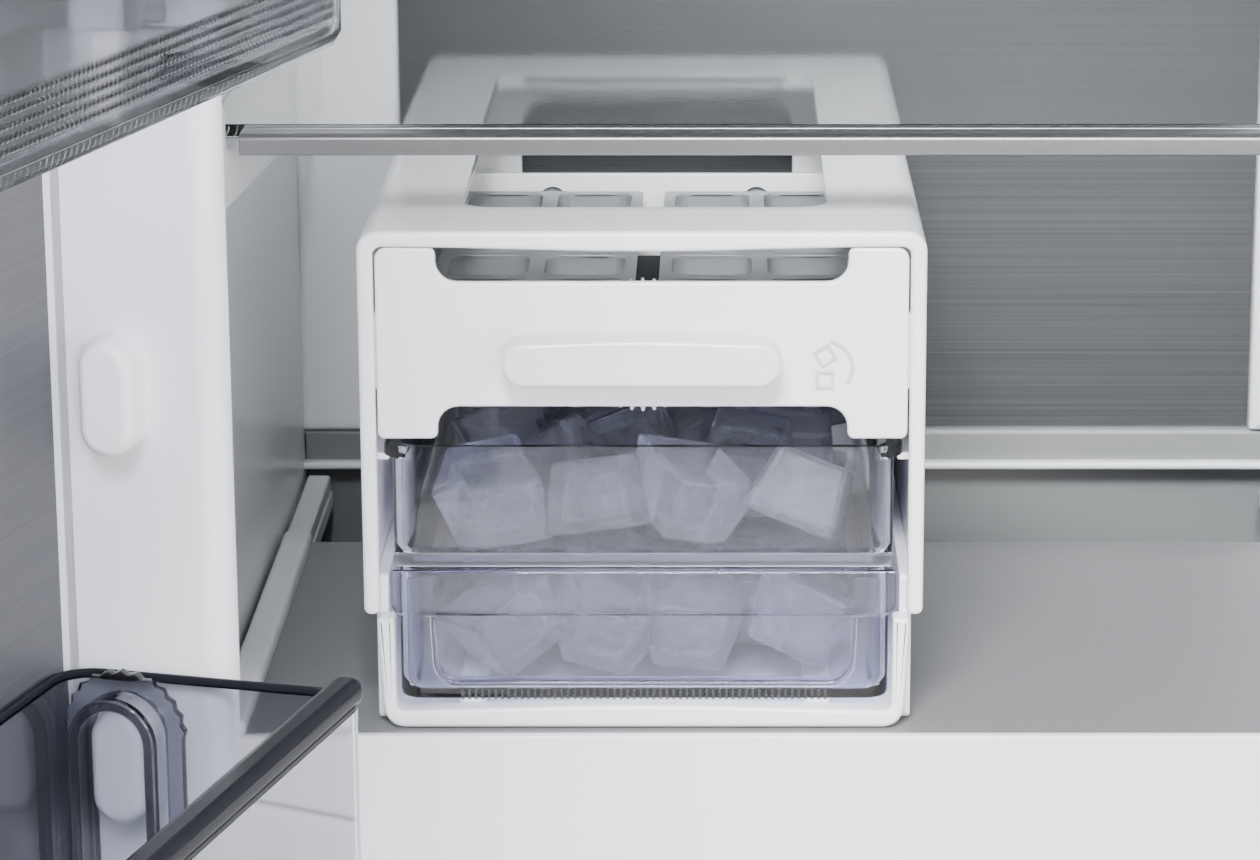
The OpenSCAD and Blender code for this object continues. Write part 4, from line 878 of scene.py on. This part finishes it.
# ---- Door bins ----
# Smoky clear moulded bins. Each end wall has an arched pocket that drops over a hook, with a faceted
# arch round it. The bottom front edge is knurled, and a dark glossy band runs round the top.
dark_gloss = finish("dark_gloss", (0.012, 0.012, 0.016), 0.24, (300, 300, 300), 0.05, Specular_IOR_Level=0.04)
BIN_WALL, BIN_HEIGHT, BIN_DEPTH, BIN_GAP, BIN_DROP, BAND_H = 0.0025, 0.114, 0.074, 0.001, 0.089, 0.006
POCKET, BIN_ROWS = 0.00775, range(-2, 3)


def arch(y, foot, crown, radius, steps=14, facet=0.0):
    """Outline in Y and Z: straight sides under a half circle. facet makes its arc zigzag."""
    points = [(y + radius, foot)]
    for k in range(steps + 1):
        r = radius + (facet if k % 2 else 0)
        angle = math.pi * k / steps
        points.append((y + r * math.cos(angle), crown - radius + r * math.sin(angle)))
    return points + [(y - radius, foot)]


def geometry_group(name, inputs):
    """A Geometry Nodes group with the given inputs, a material and a mesh output, and its two end nodes."""
    tree = bpy.data.node_groups.new(name, "GeometryNodeTree")
    for label, kind, value in inputs:
        tree.interface.new_socket(label, in_out="INPUT", socket_type=kind).default_value = value
    tree.interface.new_socket("Material", in_out="INPUT", socket_type="NodeSocketMaterial")
    tree.interface.new_socket("Mesh", in_out="OUTPUT", socket_type="NodeSocketGeometry")
    return tree, tree.nodes.new("NodeGroupInput"), tree.nodes.new("NodeGroupOutput")


def stamp(tree, given, made, points, shape, turn=(0, 0, 0)):
    """Links a shape onto every point, makes the copies real and gives them the material."""
    scatter = tree.nodes.new("GeometryNodeInstanceOnPoints")
    scatter.inputs["Rotation"].default_value = turn
    solid = tree.nodes.new("GeometryNodeRealizeInstances")
    coat = tree.nodes.new("GeometryNodeSetMaterial")
    for source, socket in ((points.outputs["Mesh"], scatter.inputs["Points"]),
                           (shape.outputs["Mesh"], scatter.inputs["Instance"]),
                           (scatter.outputs["Instances"], solid.inputs["Geometry"]),
                           (solid.outputs["Geometry"], coat.inputs["Geometry"]),
                           (given.outputs["Material"], coat.inputs["Material"]),
                           (coat.outputs["Geometry"], made.inputs["Mesh"])):
        tree.links.new(source, socket)


def knurl_group():
    """Rows of beads on a grid, as Geometry Nodes."""
    tree, given, made = geometry_group("bead_rows", (
        ("Length", "NodeSocketFloat", 0.3), ("Width", "NodeSocketFloat", 0.01),
        ("Along", "NodeSocketInt", 120), ("Across", "NodeSocketInt", 4), ("Bead", "NodeSocketFloat", 0.0012)))
    grid = tree.nodes.new("GeometryNodeMeshGrid")
    bead = tree.nodes.new("GeometryNodeMeshIcoSphere")
    bead.inputs["Subdivisions"].default_value = 1
    for source, socket in (("Length", grid.inputs["Size X"]), ("Width", grid.inputs["Size Y"]),
                           ("Along", grid.inputs["Vertices X"]), ("Across", grid.inputs["Vertices Y"]),
                           ("Bead", bead.inputs["Radius"])):
        tree.links.new(given.outputs[source], socket)
    stamp(tree, given, made, grid, bead)
    return tree


def grown(tree, settings):
    """The mesh a Geometry Nodes group makes from the given inputs."""
    carrier = bpy.data.objects.new("carrier", bpy.data.meshes.new("carrier"))
    scene.collection.objects.link(carrier)
    modifier = carrier.modifiers.new("grow", "NODES")
    modifier.node_group = tree
    for item in tree.interface.items_tree:
        if item.in_out == "INPUT" and item.name in settings:
            modifier[item.identifier] = settings[item.name]
    depsgraph = bpy.context.evaluated_depsgraph_get()
    mesh = bpy.data.meshes.new_from_object(carrier.evaluated_get(depsgraph))
    bpy.data.objects.remove(carrier)
    return mesh


bead_rows = knurl_group()
# Width, beads along and across, bead radius, distance from the front, height and turn of each patch.
KNURLS = ((0.0085, 150, 5, 0.0011, 0.0006, 0.0125, UPRIGHT),
          (0.020, 110, 8, 0.0009, 0.018, 0.0004, Matrix()))
for side, (turn, cavity) in doors.items():
    panel_y = closed_box(f"{side}_door_liner", turn)[1].y - RIDGE_H
    x0, x1 = (cavity[0] + RIDGE_CLEAR + RIDGE_W + BIN_GAP, cavity[1] - RIDGE_CLEAR - RIDGE_W - BIN_GAP)
    y0, y1 = panel_y + 0.0015, panel_y + BIN_DEPTH
    hook_y = panel_y + HOOK_DEPTH
    boxes, bands, knurls = [], [], []
    for row in BIN_ROWS:
        hook_z = HOOK_Z0 + row * 3 * HOOK_PITCH
        z0 = hook_z - BIN_DROP
        z1, w = z0 + BIN_HEIGHT - BAND_H, BIN_WALL
        crown = hook_z + HOOK_H / 2 + 0.0015
        rows = [level(x0 + s, x1 - s, y0 + s, y1 - s, 0.010, z) for z, s in
                ((z0, 0.004), (z0 + 0.0012, 0.0014), (z0 + 0.004, 0), (z1, 0))]
        rows += [level(x0 + w + s, x1 - w - s, y0 + w + s, y1 - w - s, 0.0078, z) for z, s in
                 ((z1, 0), (z0 + w + 0.005, 0), (z0 + w + 0.0014, 0.0014), (z0 + w, 0.005))]
        box = vessel(rows)
        pocket = arch(hook_y, z0 - 0.01, crown, POCKET)
        for a, b in ((x0 - 0.01, x0 + HOOK_OUT), (x1 - HOOK_OUT, x1 + 0.01)):
            box = cut(box, moulding([pocket], a, b, 0.0001, SIDEWAYS, steps=0))
        boxes.append(box)
        for end, sign in ((x0, 1), (x1, -1)):
            ring = arch(hook_y, z0 + 0.001, crown + w, POCKET + w) \
                + arch(hook_y, z0 + 0.001, crown, POCKET)[::-1]
            flange = arch(hook_y, z0 + w, crown + 0.0065, POCKET + 0.0065, 26, 0.0008) \
                + arch(hook_y, z0 + w, crown + w - 0.0002, POCKET + w - 0.0002, 26)[::-1]
            cap = arch(hook_y, z0 + 0.001, crown + w - 0.0003, POCKET + w - 0.0003)
            for loop, start, stop, edge, steps in ((ring, 0, HOOK_OUT + w, 0.0005, 2),
                                                   (cap, HOOK_OUT, HOOK_OUT + w, 0.0005, 2),
                                                   (flange, w - 0.0005, w + 0.0022, 0.0007, 1)):
                boxes.append(moulding([loop], *span(end + sign * start, end + sign * stop), edge, SIDEWAYS,
                                      steps))
        outer = rectangle(x0, x1, y0, y1, 0.010)
        inner = rectangle(x0 + 0.0018, x1 - 0.0018, y0 + 0.0018, y1 - 0.0068, 0.0075)
        bands.append(moulding([outer, inner], z1 - 0.0002, z1 + 0.0016, 0.0006))
        bands.append(moulding([rectangle(x0 + 0.003, x1 - 0.003, y1 - 0.0072, y1, 0.0030)], z1 - 0.0002,
                              z1 + BAND_H, 0.0022, steps=4))
        for width, along, across, bead, inwards, up, stand in KNURLS:
            beads = grown(bead_rows, {"Length": x1 - x0 - 0.028, "Width": width, "Along": along,
                                      "Across": across, "Bead": bead, "Material": smoky_clear})
            beads.transform(Matrix.Translation(((x0 + x1) / 2, y1 - inwards, z0 + up)) @ stand)
            knurls.append(beads)
    replaced = ["freezer_door_bins", "freezer_bin_rims"] if side == "freezer" else ["fridge_door_bins"]
    piece(f"{side}_door_bin_boxes", boxes, smoky_clear, f"{side}_door", "smoky_clear", replaced[0],
          place=turn)
    piece(f"{side}_door_bin_knurls", knurls, smoky_clear, f"{side}_door", "smoky_clear", replaced[0],
          place=turn, sharp=10)
    piece(f"{side}_door_bin_bands", bands, dark_gloss, f"{side}_door",
          "dark_rim" if side == "freezer" else "smoky_clear", replaced[-1], place=turn)


# ---- Gaskets ----
# Soft light grey magnetic seals with folds.
seal_grey = finish("seal_grey", (0.46, 0.47, 0.48), 0.55, (500, 500, 500), 0.1, 0.00004)
GASKET_W = 0.014
for side, (turn, cavity) in doors.items():
    low, high = closed_box(f"{side}_door_gasket", turn)
    folds = ((0, 0.0048, 0), (0.0040, 0.0052, 0.0018), (0.0046, 0.0094, 0), (0.0088, 0.0098, 0.0018),
             (0.0092, 0.0135, 0))
    rings = [moulding([rectangle(low.x + s, high.x - s, low.z + s, high.z - s, 0.008),
                       rectangle(low.x + GASKET_W - s, high.x - GASKET_W + s, low.z + GASKET_W - s,
                                 high.z - GASKET_W + s, 0.004)],
                      low.y + a, min(low.y + b, high.y), 0.0004 if s else 0.0014, UPRIGHT)
             for a, b, s in folds]
    piece(f"{side}_door_seal", rings, seal_grey, f"{side}_door", "gasket_grey", f"{side}_door_gasket",
          place=turn)


# ---- Door skins, grips and caps ----
# Folded steel skins in fine-grained satin silver paint, satin aluminium finger grips let into the free
# edges, and dark plastic end caps that hold the hinge bores.
door_silver = finish("door_silver", (0.36, 0.365, 0.375), 0.34, (900, 900, 4), 0.16, 0.00002,
                     darker=(0.33, 0.335, 0.345), Metallic=0.85)
case_paint = finish("case_paint", (0.17, 0.172, 0.18), 0.45, (1200, 1200, 1200), 0.15, 0.00005)
dark_plastic = finish("dark_plastic", (0.035, 0.035, 0.038), 0.5, (700, 700, 700), 0.12, 0.00004)
for side in doors:
    wear(f"{side}_door_skin", door_silver)
    wear(f"{side}_door_grip", satin_aluminium)
    wear(f"{side}_door_caps", dark_plastic)
    wear(f"{side}_door_foam", liner_white)
wear("outer_case", case_paint)
wear("front_frame", liner_white)


# ---- Back and machine room ----
# Galvanised sheet, black compressor and condenser, dark fan rotors, zinc-plated feet and hinges.
galvanised = finish("galvanised_sheet", (0.42, 0.43, 0.44), 0.42, (60, 60, 60), 0.3, 0.00003,
                    darker=(0.34, 0.35, 0.36), Metallic=0.9)
black_metal = finish("black_metal", (0.02, 0.02, 0.022), 0.35, (500, 500, 500), 0.15, 0.00005)
zinc = finish("zinc_plate", (0.55, 0.56, 0.58), 0.3, (300, 300, 300), 0.2, 0.00002, Metallic=1.0)
roller_rubber = finish("roller_rubber", (0.02, 0.02, 0.02), 0.7, (800, 800, 800), 0.1, 0.00005)
foam = finish("blown_foam", (0.75, 0.66, 0.38), 0.9, (300, 300, 300), 0.1, 0.0004, darker=(0.62, 0.53, 0.28))
lens_white = finish("lens_white", (0.95, 0.95, 0.93), 0.4, (500, 500, 500), 0.05, Transmission_Weight=0.4)
coil_aluminium = finish("coil_aluminium", (0.7, 0.7, 0.71), 0.35, (400, 400, 400), 0.15, Metallic=1.0)
for material, dressed in ((galvanised, ("rear_panel", "machine_room_cover", "base_frame")),
                          (black_metal, ("compressor", "condenser_coil")),
                          (dark_plastic, ("condenser_fan", "evaporator_fan", "toe_grille", "power_inlet",
                                          "hinge_covers")),
                          (zinc, ("door_hinges", "levelling_foot_left", "levelling_foot_right")),
                          (roller_rubber, ("rear_roller_left", "rear_roller_right")),
                          (foam, ("insulation_foam", "freezer_door_foam", "fridge_door_foam")),
                          (lens_white, ("lamp_lenses",)), (coil_aluminium, ("evaporator_coil",)),
                          (liner_white, ("fridge_duct_cover",))):
    for node in dressed:
        wear(node, material)


# ---- Screws ----
# Zinc-plated pan-head screws hold the back panel and the machine room cover along their edges.
def screw_group():
    """Pan heads on every vertex of a line, as Geometry Nodes."""
    tree, given, made = geometry_group("screw_line", (
        ("Start", "NodeSocketVector", (0, 0, 0)), ("End", "NodeSocketVector", (1, 0, 0)),
        ("Count", "NodeSocketInt", 5), ("Head Radius", "NodeSocketFloat", 0.004),
        ("Head Height", "NodeSocketFloat", 0.0022)))
    line = tree.nodes.new("GeometryNodeMeshLine")
    line.mode = "END_POINTS"
    head = tree.nodes.new("GeometryNodeMeshCone")
    head.inputs["Vertices"].default_value = 24
    slim = tree.nodes.new("ShaderNodeMath")
    slim.operation = "MULTIPLY"
    slim.inputs[1].default_value = 0.72
    for source, socket in (("Start", line.inputs["Start Location"]), ("End", line.inputs["Offset"]),
                           ("Count", line.inputs["Count"]), ("Head Radius", slim.inputs[0]),
                           ("Head Radius", head.inputs["Radius Bottom"]),
                           ("Head Height", head.inputs["Depth"])):
        tree.links.new(given.outputs[source], socket)
    tree.links.new(slim.outputs[0], head.inputs["Radius Top"])
    stamp(tree, given, made, line, head, (-math.pi / 2, 0, 0))
    return tree


screw_line = screw_group()
SCREW_IN, SCREW_SKIP = 0.012, 0.2
back_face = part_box("rear_panel")[1].y - 0.0003
heads = []
for sheet, across, upwards in (("rear_panel", 7, 6), ("machine_room_cover", 6, 0)):
    low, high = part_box(sheet)
    x0, x1, z0, z1 = low.x + SCREW_IN, high.x - SCREW_IN, low.z + SCREW_IN, high.z - SCREW_IN
    lines = [((x0, z), (x1, z), across) for z in (z0, z1)]
    if upwards:
        lines += [((x, low.z + SCREW_SKIP), (x, high.z - SCREW_SKIP), upwards) for x in (x0, x1)]
    for start, end, count in lines:
        ends = {"Start": (start[0], back_face, start[1]), "End": (end[0], back_face, end[1])}
        heads.append(grown(screw_line, {**ends, "Count": count, "Head Radius": 0.0042, "Head Height": 0.0024,
                                        "Material": zinc}))
piece("back_screws", heads, zinc, "cabinet", "zinc", sharp=30)


# ---- Hinge covers ----
# Dark plastic caps with soft edges, snapped over the top hinges.
hinge_low, hinge_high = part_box("hinge_covers")
hinge_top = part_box("door_hinges")[1].z
cap_parts = []
for sign in (-1, 1):
    outside = hinge_high.x if sign > 0 else hinge_low.x
    sides = span(outside, outside - sign * 0.028)
    cap_parts.append(moulding([rectangle(*sides, hinge_low.y, hinge_high.y, 0.006)], hinge_top, hinge_high.z,
                              0.003, steps=4))
    cap_parts.append(moulding([rectangle(*sides, hinge_high.y - 0.010, hinge_high.y, 0.004)],
                              hinge_low.z, hinge_top + 0.002, 0.001))
piece("hinge_caps", cap_parts, dark_plastic, "cabinet", "dark_plastic", "hinge_covers")
